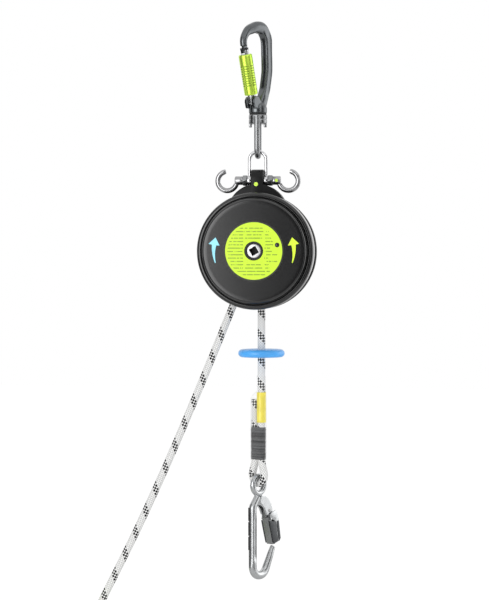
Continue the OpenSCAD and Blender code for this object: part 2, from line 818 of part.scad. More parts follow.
// A shoe reaches round from its pivot, which it turns about to meet the drum
module brake_shoe(k) {
    a = planet_angles[k - 1];
    color("saddlebrown") at_shaft(shoe_y0, shoe_y1) difference() {
        union() {
            intersection() {
                ring_2d(shoe_r, shoe_r - shoe_t);
                polygon([
                    [0, 0], for (s = [0:6]) polar(2 * shoe_r, a + s * shoe_sweep / 6)
                ]);
            }
            translate(polar(shoe_pivot_r, a)) circle(r = shoe_t / 2);
        }
        translate(polar(shoe_pivot_r, a)) circle(d = shoe_pin_d + 2 * run_gap);
    }
}

module brake_drum() {
    color("gray") at_shaft(face_y + cover_wall, hub_y0 + 1) ring_2d(drum_outer_r, drum_r);
}

// ---- Rope ----

// Angle on the sheave where the rope leaves it for a roller; side is 1 on the right, -1 on the left
function leave_angle(roller, side) =
    heading(roller) + side * acos((sheave_pitch_r + roller_pitch_r) / norm(roller));

// Points of the XZ plane along an arc, in steps of about step degrees
function arc_points(centre, r, from, to, step = run_step) =
    let (n = ceil(abs(to - from) / step))
        [for (k = [0:n]) centre + polar(r, from + (to - from) * k / n)];

// The rope inside the housing, from the right mouth over the sheave to the left mouth
function run_route() =
    let (
        right_leave = leave_angle(roller_right, 1),
        left_leave = leave_angle(roller_left, -1),
        flat = concat(
            [[right_strand_x, exit_z]],
            arc_points(roller_right, roller_pitch_r, 180, right_leave + 180),
            arc_points([0, 0], sheave_pitch_r, right_leave, left_leave + 360),
            arc_points(roller_left, roller_pitch_r, left_leave + 180, -left_exit_angle),
            [[left_route[0][0], left_route[0][2] - housing_z]]
        )
    ) [for (p = flat) [p[0], 0, p[1] + housing_z]];

module rope_run() {
    color("white") rope_tube(run_route(), rope_d);
}

module right_rope() {
    color("white") rope_tube(right_route, rope_d);
}

module left_rope() {
    color("white") rope_tube(left_route, rope_d);
}

// ---- Rope ends ----

// Puts children into the frame of one rope end, its x axis across the two strands of the eye
module at_right_end() {
    translate(right_end) rotate([0, 0, end_turn]) children();
}

module at_left_end() {
    translate(left_end) rotate([0, left_lean, 0]) rotate([0, 0, end_turn]) children();
}

// The two strands of an eye, from the end of the long strand round the bight and up the tail
function eye_route() =
    let (
        left = tail_gap / 2 - eye_spread / 2,
        right = tail_gap / 2 + eye_spread / 2,
        waist = whip_z[1] - 1,
        spread_z = whip_z[1] - 19,
        flat = concat(
            [[0, -strand_end], [0, waist], [left * 0.7, (waist + spread_z) / 2 - 3], [left, spread_z]],
            arc_points([tail_gap / 2, eye_spread / 2 - eye_drop], eye_spread / 2, 180, 360, 30),
            [
                [right, spread_z], [tail_gap - left * 0.7, (waist + spread_z) / 2 - 3],
                [tail_gap, waist], [tail_gap, (waist + tail_top) / 2], [tail_gap, tail_top]
            ]
        )
    ) [for (p = flat) [p[0], 0, p[1]]];

module rope_eye() {
    color("white") rope_tube(eye_route(), rope_d);
}

// Outline round both strands, at a distance from the rope's surface
module strands_2d(grow) {
    r = rope_r + grow;
    circle(r = r);
    translate([tail_gap, 0]) circle(r = r);
    translate([0, -r]) square([tail_gap, 2 * r]);
}

module wrap(z0, z1, inner, outer) {
    translate([0, 0, z0]) linear_extrude(height = z1 - z0) difference() {
        strands_2d(outer);
        strands_2d(inner);
    }
}

module sleeve_clear() {
    shoulder = -upper_sleeve_l;
    grow = whip_t + 0.3;
    color("#ffffff60") {
        wrap(whip_z[1] - 1, shoulder, grow, grow + sleeve_wall);
        translate([0, 0, shoulder - sleeve_wall]) linear_extrude(height = sleeve_wall) difference() {
            strands_2d(grow);
            circle(r = rope_r + 0.2);
        }
        translate([0, 0, shoulder - 0.1]) linear_extrude(height = upper_sleeve_l + 0.1)
            ring_2d(rope_r + 0.2 + 2 * sleeve_wall, rope_r + 0.2);
    }
}

module whipping() {
    color("#3c3c3e") wrap(whip_z[1], whip_z[0], 0.1, whip_t);
}

module rope_label() {
    color("#e8de5a") translate([0, 0, -59]) linear_extrude(height = 38) difference() {
        circle(r = rope_r + 0.2 + label_tube_t);
        circle(r = rope_r + 0.2);
        translate([rope_r - 0.6, -10]) square([20, 20]);
    }
}

module stopper() {
    half = stopper_t / 2;
    difference() {
        union() {
            rotate_extrude($fn = 96) translate([stopper_d / 2 - half, 0]) circle(r = half);
            cylinder(h = stopper_t - 0.6, r = stopper_d / 2 - half, center = true, $fn = 96);
        }
        cylinder(h = 40, r = rope_r + 0.2, center = true);
    }
}

module stopper_blue() {
    color("#46a5ff") translate([right_strand_x, 0, right_stop_z]) stopper();
}

module stopper_lime() {
    color("#d4ff2e") translate(left_stop) rotate([0, left_lean, 0]) stopper();
}

// ---- Snap hook ----

// The hook's own drawing plane stands across the eye, with its origin in the bight of the rope
module hook_frame() {
    translate([tail_gap / 2, 0, -eye_drop]) rotate([0, 0, -90]) children();
}

module hook_cheek_2d() {
    polygon([[1, -16], [12, -19], [21, -30], [22.5, -38], [19, -42], [10, -41], [6.5, -30], [-3, -23]]);
}

module hook_body() {
    inner = hook_gate_t / 2 + 0.25;
    color("#d8dadc") hook_frame() {
        translate([0, 0, hook_ring_z]) rotate([90, 0, 0])
            rotate_extrude($fn = 64) translate([hook_ring_r, 0]) circle(d = hook_ring_d);
        along_y(-hook_rod_d / 2, hook_rod_d / 2) {
            stroke_2d(smooth_path(hook_path, hook_bends), 0, hook_rod_d, -1, hook_rod_d);
            polygon([[1, -16], [12, -19], [14, -26], [2, -27], [-3, -23]]);
        }
        along_y(-inner - hook_cheek_t, -inner) hook_cheek_2d();
        along_y(inner, inner + hook_cheek_t) hook_cheek_2d();
        translate([hook_hinge[0], inner + hook_cheek_t, hook_hinge[1]])
            rotate([90, 0, 0]) cylinder(h = 2 * (inner + hook_cheek_t), d = hook_pin_d);
    }
}

// Gate between the cheeks, closing on the nose
module hook_gate() {
    half = hook_gate_t / 2;
    color("#8a8c8f") hook_frame() difference() {
        union() {
            along_y(-half, half) {
                translate(hook_hinge) circle(r = 5);
                polygon([[11.4, -37], [20, -38.5], gate_foot[0], gate_foot[1]]);
            }
            along_y(-half - hook_cheek_t, half + hook_cheek_t)
                polygon([[12.6, -44.5], [19, -44.5], gate_foot[0], gate_foot[1]]);
        }
        along_y(-20, 20) {
            translate(hook_hinge) circle(d = hook_pin_d + 2 * run_gap);
            translate(lever_pivot) circle(d = lever_pin_d + 2 * run_gap);
        }
    }
}

// Finger lever on the outside of the gate
module hook_lever() {
    inner = hook_gate_t / 2 + 0.25 + hook_cheek_t + rest_gap;
    outer = inner + 1.6;
    color("#4b4d50") hook_frame() {
        along_y(inner, outer) lever_side_2d();
        along_y(-outer, -inner) lever_side_2d();
        along_y(-outer, outer) {
            polygon([[30.6, -47.5], [32.6, -48], [36.6, -73], [33.6, -77], [31.5, -72]]);
            translate(lever_pivot) circle(d = lever_pin_d);
        }
    }
}

module lever_side_2d() {
    polygon([
        [15.5, -40.5], [27.5, -36], [32.6, -48], [36.6, -73], [33.6, -77], [30.5, -71], [27, -56], [18, -46.5]
    ]);
}

// ---- Drawing ----

karabiner_body();
gate_pivot_pin();
karabiner_gate();
sleeve_detent_ring();
gate_sleeve();
swivel_bolt();
swivel_washer();
swivel_head();
link_bow();
bow_shackle();
load_plate();
front_cover();
rear_cover();
cover_screws();
shackle_pin();
pin_nuts();
horn(-1);  // horn_left
horn(1);  // horn_right
seal_screws();
rating_label();
arrow_blue();
arrow_lime();
shaft_seal();
shaft_bushes();
rope_guide();
roller_pins();
guide_roller(roller_left);  // guide_roller_left
guide_roller(roller_right);  // guide_roller_right
main_shaft();
rope_sheave();
planet_carrier();
planet(1);  // planet_1
planet(2);  // planet_2
planet(3);  // planet_3
ring_gear();
sun_gear();
brake_hub();
brake_shoe(1);  // brake_shoe_1
brake_shoe(2);  // brake_shoe_2
brake_shoe(3);  // brake_shoe_3
brake_drum();
rope_run();
right_rope();
left_rope();
at_right_end() rope_eye();  // right_eye
at_left_end() rope_eye();  // left_eye
stopper_blue();
stopper_lime();
at_right_end() sleeve_clear();  // right_sleeve_clear
at_left_end() sleeve_clear();  // left_sleeve_clear
at_right_end() whipping();  // right_whipping
at_left_end() whipping();  // left_whipping
at_right_end() rope_label();  // right_rope_label
at_left_end() rope_label();  // left_rope_label
at_right_end() hook_body();  // right_hook_body
at_right_end() hook_gate();  // right_hook_gate
at_right_end() hook_lever();  // right_hook_lever
at_left_end() hook_body();  // left_hook_body
at_left_end() hook_gate();  // left_hook_gate
at_left_end() hook_lever();  // left_hook_lever
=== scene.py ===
"""Looks of a two-way controlled descent device: swivel karabiner, braked sheave housing, rope and snap hooks.

The construction is loaded as a fixed frame in metres. The operators below shape and finish its pieces.
"""
import math

import bmesh
import bpy
from mathutils import Matrix, Vector, noise


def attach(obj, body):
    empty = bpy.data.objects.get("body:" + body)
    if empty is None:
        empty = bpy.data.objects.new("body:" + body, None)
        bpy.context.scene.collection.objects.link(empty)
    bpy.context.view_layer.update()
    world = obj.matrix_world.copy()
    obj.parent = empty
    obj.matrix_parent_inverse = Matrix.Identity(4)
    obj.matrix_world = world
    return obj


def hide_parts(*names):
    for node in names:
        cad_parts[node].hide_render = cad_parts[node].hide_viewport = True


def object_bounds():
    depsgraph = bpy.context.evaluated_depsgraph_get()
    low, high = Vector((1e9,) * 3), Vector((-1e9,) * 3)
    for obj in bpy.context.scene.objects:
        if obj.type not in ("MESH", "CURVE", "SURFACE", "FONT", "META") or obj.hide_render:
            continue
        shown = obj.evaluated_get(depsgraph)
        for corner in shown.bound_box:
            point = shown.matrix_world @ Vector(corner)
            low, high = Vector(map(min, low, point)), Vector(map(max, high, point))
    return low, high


bl_info = {
    "name": "Controlled descent device",
    "version": (1, 0, 0),
    "blender": (4, 5, 0),
    "location": "3D View > Sidebar > Descent",
    "description": "Shapes and finishes the pieces of a rope descent device",
    "category": "Object",
}

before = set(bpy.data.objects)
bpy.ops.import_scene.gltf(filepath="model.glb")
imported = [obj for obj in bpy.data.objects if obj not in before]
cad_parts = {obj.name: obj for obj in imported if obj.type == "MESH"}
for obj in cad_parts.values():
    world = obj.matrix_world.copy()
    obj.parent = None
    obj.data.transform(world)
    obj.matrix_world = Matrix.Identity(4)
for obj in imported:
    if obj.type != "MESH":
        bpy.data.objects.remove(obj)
CAD_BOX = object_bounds()

# Stations of the construction, in millimetres
SHAFT_Z = -272.0
PIN_Z = -183.1
FACE_Y = -44.0
ROPE_R = 4.8
STRANDS = 9.8  # between the two strands of a sewn eye
EYE_DROP = 136.3  # from a rope end's frame down to its eye
BIGHT_R = 9.5
BOW_X = 10.45
SCREW_RING = 65.5
SCREW_ANGLES = (0, 60, 120, 180, 212, 300)

FLOOR_GAP = 0.03  # metres
SENSOR = 36
END_ROUND = 0.1  # where the route map puts a swept piece's flat ends


def turned(degrees, axis):
    return Matrix.Rotation(math.radians(degrees), 4, axis)


def moved(x, y, z):
    return Matrix.Translation((x, y, z))


KARABINER = turned(57, "Z")
GATE = KARABINER @ moved(-11, 0, -84) @ turned(-13.8, "Y")
ENDS = {
    "right": moved(4.5, 0, -428.4) @ turned(148, "Z"),
    "left": moved(-226.2, 0, -768.3) @ turned(26.8, "Y") @ turned(148, "Z"),
}
HOOK = moved(STRANDS / 2, 0, -EYE_DROP) @ turned(-90, "Z")
# A lathe turns about its own z axis; these lay that axis along y or stand it where it is needed
ALONG_Y = turned(-90, "X")
ON_SHAFT = moved(0, 0, SHAFT_Z) @ ALONG_Y
GATE_PIVOT = moved(16, 0, -35.3) @ ALONG_Y


def on_pin(x):
    return moved(x, 0, PIN_Z) @ turned(90, "Y")


# ---- Sizes and colours ----


def colour(name, text, value):
    return bpy.props.FloatVectorProperty(
        name=name, description="Colour of " + text, default=value, size=3, min=0, max=1, subtype="COLOR"
    )


class RopeLook(bpy.types.PropertyGroup):
    pitch: bpy.props.FloatProperty(
        name="Braid pitch", description="Length of rope in which a yarn goes once round it",
        default=0.0305, min=0.015, max=0.06, unit="LENGTH",
    )
    yarns: bpy.props.IntProperty(
        name="Yarns each way", description="Yarns that wind each way round the sheath",
        default=9, min=6, max=24,
    )
    tracers: bpy.props.IntProperty(
        name="Tracer yarns", description="Neighbouring yarns that are dark", default=3, min=0, max=8
    )
    sheath: colour("Sheath", "the rope's plain yarns", (0.93, 0.93, 0.92))
    tracer: colour("Tracer", "the rope's dark yarns", (0.006, 0.006, 0.007))
    thread: colour("Whipping thread", "the thread round the sewn strands", (0.052, 0.053, 0.056))
    blue: colour("Blue stopper", "the right stopper", (0.075, 0.41, 0.93))
    lime: colour("Lime stopper", "the left stopper", (0.55, 0.86, 0.05))
    tag: colour("Marker sleeve", "the yellow marker sleeve", (0.84, 0.72, 0.07))


class MetalLook(bpy.types.PropertyGroup):
    karabiner: colour("Karabiner", "the karabiner's anodised frame", (0.118, 0.125, 0.13))
    alloy: colour("Bright alloy", "the hooks and the gate", (0.46, 0.47, 0.475))
    steel: colour("Bright steel", "the shackle, the pin and the horns", (0.60, 0.60, 0.61))
    dark_steel: colour("Grey steel", "the nuts, the link and the swivel head", (0.27, 0.275, 0.28))
    sleeve: colour("Locking sleeve", "the gate's locking sleeve", (0.56, 0.80, 0.085))
    grip: colour("Lever grip", "the snap hooks' finger grips", (0.075, 0.078, 0.082))


class HousingLook(bpy.types.PropertyGroup):
    shell: colour("Covers", "the two covers", (0.0078, 0.0079, 0.0082))
    plate: colour("Load plate", "the plate between the covers", (0.006, 0.006, 0.0065))
    label: colour("Label", "the round label", (0.66, 0.98, 0.022))
    rows: colour("Label rows", "the plain rows on the label", (0.05, 0.09, 0.01))
    left_arrow: colour("Left arrow", "the left arrow", (0.33, 0.84, 1.0))
    right_arrow: colour("Right arrow", "the right arrow", (0.72, 0.98, 0.03))


class StageLook(bpy.types.PropertyGroup):
    azimuth: bpy.props.FloatProperty(
        name="Azimuth", description="Angle of the camera round the device",
        default=math.radians(7.2), subtype="ANGLE",
    )
    elevation: bpy.props.FloatProperty(
        name="Elevation", description="Angle of the camera above the horizon",
        default=math.radians(1.0), subtype="ANGLE",
    )
    distance: bpy.props.FloatProperty(
        name="Distance", description="From the camera to the middle of the picture",
        default=2.35, min=0.5, max=8, unit="LENGTH",
    )
    height: bpy.props.FloatProperty(
        name="Height in view", description="Height that the picture takes in at that distance",
        default=0.756, min=0.2, max=3, unit="LENGTH",
    )
    daylight: bpy.props.FloatProperty(
        name="Daylight", description="Strength of the light from all round", default=0.62, min=0, max=3,
    )


# ---- Shader maths ----


class Shade:
    """A socket's value, with the operators that finishes use."""

    def __init__(self, finish, socket):
        self.finish, self.socket = finish, socket

    def __rsub__(self, other):
        return self.finish.maths("SUBTRACT", other, self)


def maths_method(operation):
    return lambda *values: values[0].finish.maths(operation, *values)


for method, operation in {
    "__add__": "ADD", "__radd__": "ADD", "__sub__": "SUBTRACT", "__mul__": "MULTIPLY", "__rmul__": "MULTIPLY",
    "__truediv__": "DIVIDE", "__pow__": "POWER", "__lt__": "LESS_THAN", "__gt__": "GREATER_THAN",
    "__mod__": "FLOORED_MODULO", "__abs__": "ABSOLUTE", "__floor__": "FLOOR", "fraction": "FRACT",
    "most": "MAXIMUM",
}.items():
    setattr(Shade, method, maths_method(operation))


class Finish:
    """A material or a world whose shader is written as expressions."""

    def __init__(self, owner):
        self.owner = bpy.data.materials.new(owner + "_finish") if isinstance(owner, str) else owner
        self.owner.use_nodes = True
        self.tree = self.owner.node_tree
        self.tree.nodes.clear()

    def feed(self, socket, value):
        if isinstance(value, Shade):
            self.tree.links.new(value.socket, socket)
        elif hasattr(value, "__len__"):
            value = tuple(value)
            socket.default_value = (*value, 1) if socket.type == "RGBA" and len(value) == 3 else value
        else:
            socket.default_value = value

    def node(self, kind, inputs=None, output=0, **settings):
        """One node, its settings made first, as its output's value."""
        made = self.tree.nodes.new("ShaderNode" + kind)
        for name, value in settings.items():
            setattr(made, name, value)
        for name, value in (inputs or {}).items():
            self.feed(made.inputs[name], value)
        return Shade(self, made.outputs[output])

    def outputs(self, shade, names):
        """Other outputs of the node that a value comes from."""
        return [Shade(self, shade.socket.node.outputs[name]) for name in names]

    def maths(self, operation, *values):
        return self.node("Math", dict(enumerate(values)), operation=operation)

    def place(self, scale=(1, 1, 1), centre=(0, 0, 0)):
        """Object coordinates about a centre, in millimetres and stretched by scale."""
        spot = self.node("TexCoord", output="Object")
        factors = [1000 * s for s in scale]
        offset = [-c * s for c, s in zip(centre, scale)]
        return self.node("Mapping", {"Vector": spot, "Scale": factors, "Location": offset})

    def parts(self, vector):
        return self.outputs(self.node("SeparateXYZ", {0: vector}), range(3))

    def route(self):
        """How far along a swept piece, in metres, and how far round it, from 0 to 1."""
        return self.parts(self.node("UVMap", uv_map="route"))[:2]

    def noise(self, where, scale, detail=2.0, rough=0.5):
        return self.node("TexNoise", {
            "Vector": where, "Scale": scale, "Detail": detail, "Roughness": rough,
        })

    def mix(self, factor, first, second):
        """first where the factor is 0, second where it is 1."""
        return self.node("Mix", {"Factor": factor, 6: first, 7: second}, 2, data_type="RGBA")

    def ease(self, value, low, high):
        """0 below low, 1 above high, smooth between."""
        inputs = {"Value": value, "From Min": low, "From Max": high}
        return self.node("MapRange", inputs, interpolation_type="SMOOTHSTEP")

    def bump(self, height, millimetres, strength=1.0):
        return self.node("Bump", {
            "Height": height, "Distance": millimetres / 1000, "Strength": strength,
        })

    def surface(self, **sockets):
        return self.output(self.node("BsdfPrincipled", {
            name.replace("_", " ").title().replace("Ior", "IOR"): value for name, value in sockets.items()
        }))

    def output(self, shader, kind="Material"):
        out = self.tree.nodes.new("ShaderNodeOutput" + kind)
        self.feed(out.inputs["Surface"], shader)
        return self.owner


def dim(tint, share):
    return tuple(c * share for c in tint)


def metal(name, tint, rough, grain=(1, 1, 1), depth=0.012, wear=0.2, metallic=1.0, coat=0.0):
    """Satin or polished metal: faint handling marks, brushed or blasted grain, and duller patches."""
    f = Finish(name)
    where = f.place()
    patches = f.noise(where, 0.09, 3)
    fine = f.noise(f.place(grain), 1.6, 4, 0.65)
    scratch = f.ease(f.noise(f.place((0.3, 2.6, 0.35)), 1.3, 5, 0.7), 0.62, 0.70)
    base = f.mix(f.ease(patches, 0.35, 0.68), tint, dim(tint, 1.16))
    base = f.mix(scratch * wear, base, dim(tint, 0.62))
    return f.surface(
        base_color=base, metallic=metallic,
        roughness=(rough - 0.05) + patches * 0.08 + fine * 0.05 + scratch * 0.1 * wear,
        coat_weight=coat, coat_roughness=0.12,
        normal=f.bump(fine + scratch * -0.5 * wear, depth),
    )


def moulded(name, tint, rough=0.45, grain=1.4, depth=0.03, coat=0.0, shine=0.5):
    """Moulded plastic or powder coat: a fine even texture, scuffs and slight colour drift."""
    f = Finish(name)
    where = f.place()
    drift = f.noise(where, 0.05, 2)
    texture = f.noise(where, grain, 3, 0.6)
    scuff = f.ease(f.noise(f.place((1, 0.25, 1.4)), 0.42, 5, 0.7), 0.60, 0.72)
    base = f.mix(f.ease(drift, 0.3, 0.7), dim(tint, 0.9), dim(tint, 1.1))
    base = f.mix(scuff * 0.25, base, [min(1, c * 1.35 + 0.004) for c in tint])
    return f.surface(
        base_color=base, roughness=(rough - 0.05) + texture * 0.1 + scuff * 0.06,
        specular_ior_level=shine, coat_weight=coat, coat_roughness=0.2, normal=f.bump(texture, depth),
    )


def braided(name, look):
    """Sheath of crossing yarns on the route map, with a band of dark tracers, and painted shade where the yarns
    dip into the gaps between them.
    """
    f = Finish(name)
    along, round_ = f.route()
    turns = along / look.pitch
    one, other = (turns - round_) * look.yarns, (turns + round_) * look.yarns
    row, column = math.floor(one), math.floor(other)
    over = ((row + column) % 2) > 0.5
    across = f.node("Mix", {"Factor": over, "A": other.fraction(), "B": one.fraction()})
    lengthwise = f.node("Mix", {"Factor": over, "A": one.fraction(), "B": other.fraction()})
    crown = 1 - (across * 2 - 1) ** 2
    dive = 1 - (abs(lengthwise * 2 - 1)) ** 3
    height = (crown * 0.75 + 0.25) * (dive * 0.7 + 0.3)
    fibres = f.noise(f.place((0.8, 0.8, 0.8)), 2.6, 3, 0.7)
    dark = ((column % look.yarns) < look.tracers - 0.5) * (1 - over * (crown > 0.32))
    # painted shade: the sheath darkens to 0.42 of its colour where the yarns dip into the gaps between them
    shadow = f.ease(height, 0.15, 0.75)
    plain = f.mix(shadow, dim(look.sheath, 0.42), look.sheath)
    plain = f.mix(fibres * 0.14, plain, dim(look.sheath, 0.85))
    ink = f.mix(fibres * 0.6, look.tracer, dim(look.tracer, 2.5))
    return f.surface(
        base_color=f.mix(dark, plain, ink), roughness=0.62 + fibres * 0.2, specular_ior_level=0.2,
        normal=f.bump(height + fibres * 0.12, 0.45),
    )


def printed_label(name, look):
    """Round label: a painted shade line round its edge, where it sits in its recess, and plain broken rows in
    two columns that spell nothing.
    """
    f = Finish(name)
    x, _, z = f.parts(f.place(centre=(0, 0, SHAFT_Z)))
    spread = (x * x + z * z) ** 0.5
    rows = (z + 60) / 4.1
    line, across = math.floor(rows), rows.fraction()
    blocks = math.floor(x / 0.85)
    cell = f.node("CombineXYZ", {"X": blocks, "Y": line})
    word = f.node("TexWhiteNoise", {"Vector": cell}, noise_dimensions="2D")
    extent = f.node("TexWhiteNoise", {"W": line + 7.3}, noise_dimensions="1D")
    half = f.maths("SQRT", (33.5 ** 2 - z * z).most(0.0))
    left = (x < -13) * (x > half * -1 + extent * 2)
    right = (x > 13 + extent * 3) * (x < half * (0.55 + extent * 0.4))
    middle = (abs(x) < 7 + extent * 8) * (abs(z) > 14)
    clear = ((abs(x - 29.1) < 5) * (abs(z - 7.4) < 4.4)) < 0.5
    inked = (word > 0.12) * (abs(across - 0.5) < 0.17) * (left.most(right).most(middle)) * clear
    inked = inked * (abs(z) < 31) * (spread > 14)
    recess_edge_shade = spread > 35.5
    drift = f.noise(f.place(), 0.08, 2)
    base = f.mix(drift * 0.3, look.label, dim(look.label, 0.86))
    base = f.mix(inked * 0.62, base, look.rows)
    # painted shade: a near-black line round the label's edge, standing for the shadow of the recess it sits in
    base = f.mix(recess_edge_shade, base, (0.012, 0.014, 0.008))
    return f.surface(
        base_color=base, roughness=0.34 + drift * 0.08, coat_weight=0.25, coat_roughness=0.15,
        normal=f.bump(f.noise(f.place(), 0.5, 2), 0.02),
    )


def clear_film(name, tint):
    """Shrunk clear film: nearly invisible face on, and milky where it turns away."""
    f = Finish(name)
    edge = f.node("LayerWeight", {"Blend": 0.35}, "Facing")
    crease = f.noise(f.place((1, 1, 0.35)), 0.5, 3)
    return f.surface(
        base_color=tint, roughness=0.12 + crease * 0.1, alpha=0.01 + edge ** 2 * 0.3 + crease * 0.015,
        coat_weight=0.6, coat_roughness=0.08, normal=f.bump(crease, 0.25),
    )


def wound_thread(name, tint):
    """Thread wound tight round the strands, with fibres along each turn and painted shade in the grooves
    between turns.
    """
    f = Finish(name)
    along, round_ = f.route()
    lay = (along * 1250 + round_).fraction()
    fibres = f.noise(f.place((2.5, 2.5, 0.6)), 1.8, 3, 0.7)
    groove_and_shade = f.ease(abs(lay * 2 - 1), 0.55, 1.0)
    turn = f.node("TexNoise", {"W": along * 300, "Scale": 1.0, "Detail": 2.0}, noise_dimensions="1D")
    bands = f.mix(f.ease(turn, 0.40, 0.60), dim(tint, 0.2), dim(tint, 2.6))
    # painted shade: the thread darkens to 0.3 of its colour in the sunk grooves between turns
    base = f.mix(groove_and_shade * 0.7, bands, dim(tint, 0.3))
    base = f.mix(fibres * 0.3, base, dim(tint, 1.7))
    return f.surface(
        base_color=base, roughness=0.55 + fibres * 0.2, sheen_weight=0.2,
        normal=f.bump(fibres - groove_and_shade, 0.18),
    )


def marker_film(name, tint):
    """Yellow marker sleeve: smooth film over rope, softly rippled and lightly stained."""
    f = Finish(name)
    ripple = f.noise(f.place((1, 1, 0.4)), 0.32, 3)
    stain = f.noise(f.place(), 0.12, 3)
    base = f.mix(f.ease(stain, 0.4, 0.7), tint, [min(1, c * 1.12 + 0.02) for c in tint])
    return f.surface(
        base_color=base, roughness=0.28 + ripple * 0.14, coat_weight=0.35, coat_roughness=0.15,
        normal=f.bump(ripple, 0.35),
    )


def ribbed_sleeve(name, tint):
    """Anodised locking sleeve: two patches of short cross ribs on its middle, read from the route map, with
    painted shade in the ribs' grooves.
    """
    f = Finish(name)
    along, round_ = f.route()
    height = along * 1000
    rib = f.ease(abs((height / 3.0).fraction() * 2 - 1), 0.45, 0.75)
    patch = f.ease(abs(height - 24), 13.5, 12.5) * f.ease(abs((round_ * 6).fraction() - 0.5), 0.40, 0.32)
    rib_relief_and_shade = rib * patch
    fine = f.noise(f.place((3, 3, 0.5)), 1.5, 3, 0.6)
    drift = f.noise(f.place(), 0.12, 2)
    base = f.mix(drift * 0.5, tint, dim(tint, 1.2))
    # painted shade: the sleeve darkens to 0.32 of its colour in the sunk rib grooves
    base = f.mix(rib_relief_and_shade * 0.8, base, dim(tint, 0.32))
    return f.surface(
        base_color=base, metallic=0.75, roughness=0.24 + fine * 0.1 + drift * 0.06,
        normal=f.bump(fine * 0.04 - rib_relief_and_shade, 0.3),
    )


# ---- Shaping ----


def bend(x, z, radius, start, end, parts):
    """Points along an arc about (x, z), with its angles in degrees."""
    angles = [math.radians(start + (end - start) * k / parts) for k in range(parts + 1)]
    return [(x + radius * math.cos(a), z + radius * math.sin(a)) for a in angles]


def arc(centre, radius, start, end, step=5.0):
    """The same as vectors, in steps of about so many degrees."""
    return [Vector(p) for p in bend(*centre, radius, start, end, max(3, math.ceil(abs(end - start) / step)))]


def rounded(corners, bends, step=2.5):
    """Points along a path in a plane, with an arc of its own radius at each inner corner."""
    corners = [Vector(c) for c in corners]
    points = [corners[0]]
    for i in range(1, len(corners) - 1):
        come = (corners[i] - corners[i - 1]).normalized()
        go = (corners[i + 1] - corners[i]).normalized()
        angle = math.atan2(come.x * go.y - come.y * go.x, come.dot(go))
        radius = bends[i - 1]
        start = corners[i] - come * radius * math.tan(abs(angle) / 2)
        side = math.copysign(1, angle)
        centre = start + side * radius * Vector((-come.y, come.x))
        count = max(3, math.ceil(abs(angle) / math.radians(7)))
        for k in range(count + 1):
            points.append(centre + Matrix.Rotation(angle * k / count, 2) @ (start - centre))
    points.append(corners[-1])
    full = [points[0]]
    for a, b in zip(points, points[1:]):
        if (b - a).length < 0.02:
            continue
        parts = max(1, math.ceil((b - a).length / step))
        full += [a.lerp(b, k / parts) for k in range(1, parts + 1)]
    return full


def even(points, step):
    """The same route through a smooth curve, in steps of about one length."""
    points = [Vector(p) for p in points]
    spans = [(b - a).length for a, b in zip(points, points[1:])]
    slopes = [(b - a) / h for a, b, h in zip(points, points[1:], spans)]
    leads = [slopes[0]]
    for i in range(1, len(spans)):
        h, g = spans[i - 1], spans[i]
        leads.append((slopes[i - 1] * g + slopes[i] * h) / (h + g))
    leads.append(slopes[-1])
    route = [points[0]]
    for i, h in enumerate(spans):
        count = max(1, round(h / step))
        for k in range(1, count + 1):
            t = k / count
            route.append(
                points[i] * (2 * t ** 3 - 3 * t * t + 1) + points[i + 1] * (3 * t * t - 2 * t ** 3)
                + leads[i] * h * (t ** 3 - 2 * t * t + t) + leads[i + 1] * h * (t ** 3 - t * t)
            )
    return route


def stations(route):
    """Frames along a route of the XZ plane: x to its left, y away from the front, z along it."""
    flat = [Vector((p[0], p[-1])) for p in route]
    frames = []
    for i, p in enumerate(flat):
        t = (flat[min(i + 1, len(flat) - 1)] - flat[max(i - 1, 0)]).normalized()
        frames.append(Matrix((
            (-t.y, 0, t.x, p.x), (0, 1, 0, 0), (t.x, 0, t.y, p.y), (0, 0, 0, 1),
        )))
    return frames


def carried(route):
    """Frames along a route in space that turn no more about it than its bends make them."""
    frames, side = [], None
    for i, p in enumerate(route):
        t = (route[min(i + 1, len(route) - 1)] - route[max(i - 1, 0)]).normalized()
        side = t.orthogonal() if side is None else side - t * side.dot(t)
        side.normalize()
        other = t.cross(side)
        frames.append(Matrix((
            (side.x, other.x, t.x, p.x), (side.y, other.y, t.y, p.y), (side.z, other.z, t.z, p.z), (0, 0, 0, 1),
        )))
    return frames


def oval(half_x, half_y, power=2.0, sides=32):
    """Ring between an ellipse and a rectangle: power 2 is round, and higher is squarer."""
    ring = []
    for k in range(sides):
        c, s = math.cos(2 * math.pi * k / sides), math.sin(2 * math.pi * k / sides)
        ring.append((
            half_x * math.copysign(abs(c) ** (2 / power), c),
            half_y * math.copysign(abs(s) ** (2 / power), s),
        ))
    return ring


def sweep(frames, ring_at):
    """Extrudes a ring of edges from frame to frame, and lays the route map on the wall and the ends."""
    bm = bmesh.new()
    sides = len(ring_at(0))
    first = ring = bmesh.ops.create_circle(bm, segments=sides, radius=1)["verts"]
    uv = bm.loops.layers.uv.new("route")
    spots, along = {}, 0.0
    for i, matrix in enumerate(frames):
        if i:
            loop = [bm.edges.get((ring[k], ring[(k + 1) % sides])) for k in range(sides)]
            made = bmesh.ops.extrude_edge_only(bm, edges=loop)["geom"]
            new = {v for v in made if isinstance(v, bmesh.types.BMVert)}
            ring = [next(e.other_vert(v) for e in v.link_edges if e.other_vert(v) in new) for v in ring]
            along += (matrix.translation - frames[i - 1].translation).length
        for k, (v, (x, y)) in enumerate(zip(ring, ring_at(i))):
            v.co = matrix @ Vector((x, y, 0))
            spots[v] = (along, k)
    for face in bm.faces:
        seam = max(spots[l.vert][1] for l in face.loops) - min(spots[l.vert][1] for l in face.loops) > 1
        for l in face.loops:
            length, k = spots[l.vert]
            l[uv].uv = (length / 1000, (k + sides if seam and k == 0 else k) / sides)
    for end in (first, ring):
        for l in bm.faces.new(end).loops:
            l[uv].uv = (spots[l.vert][0] / 1000, END_ROUND)
    return bm


def put(bm, verts, place):
    if place is not None:
        bmesh.ops.transform(bm, matrix=place, verts=verts)
    return bm


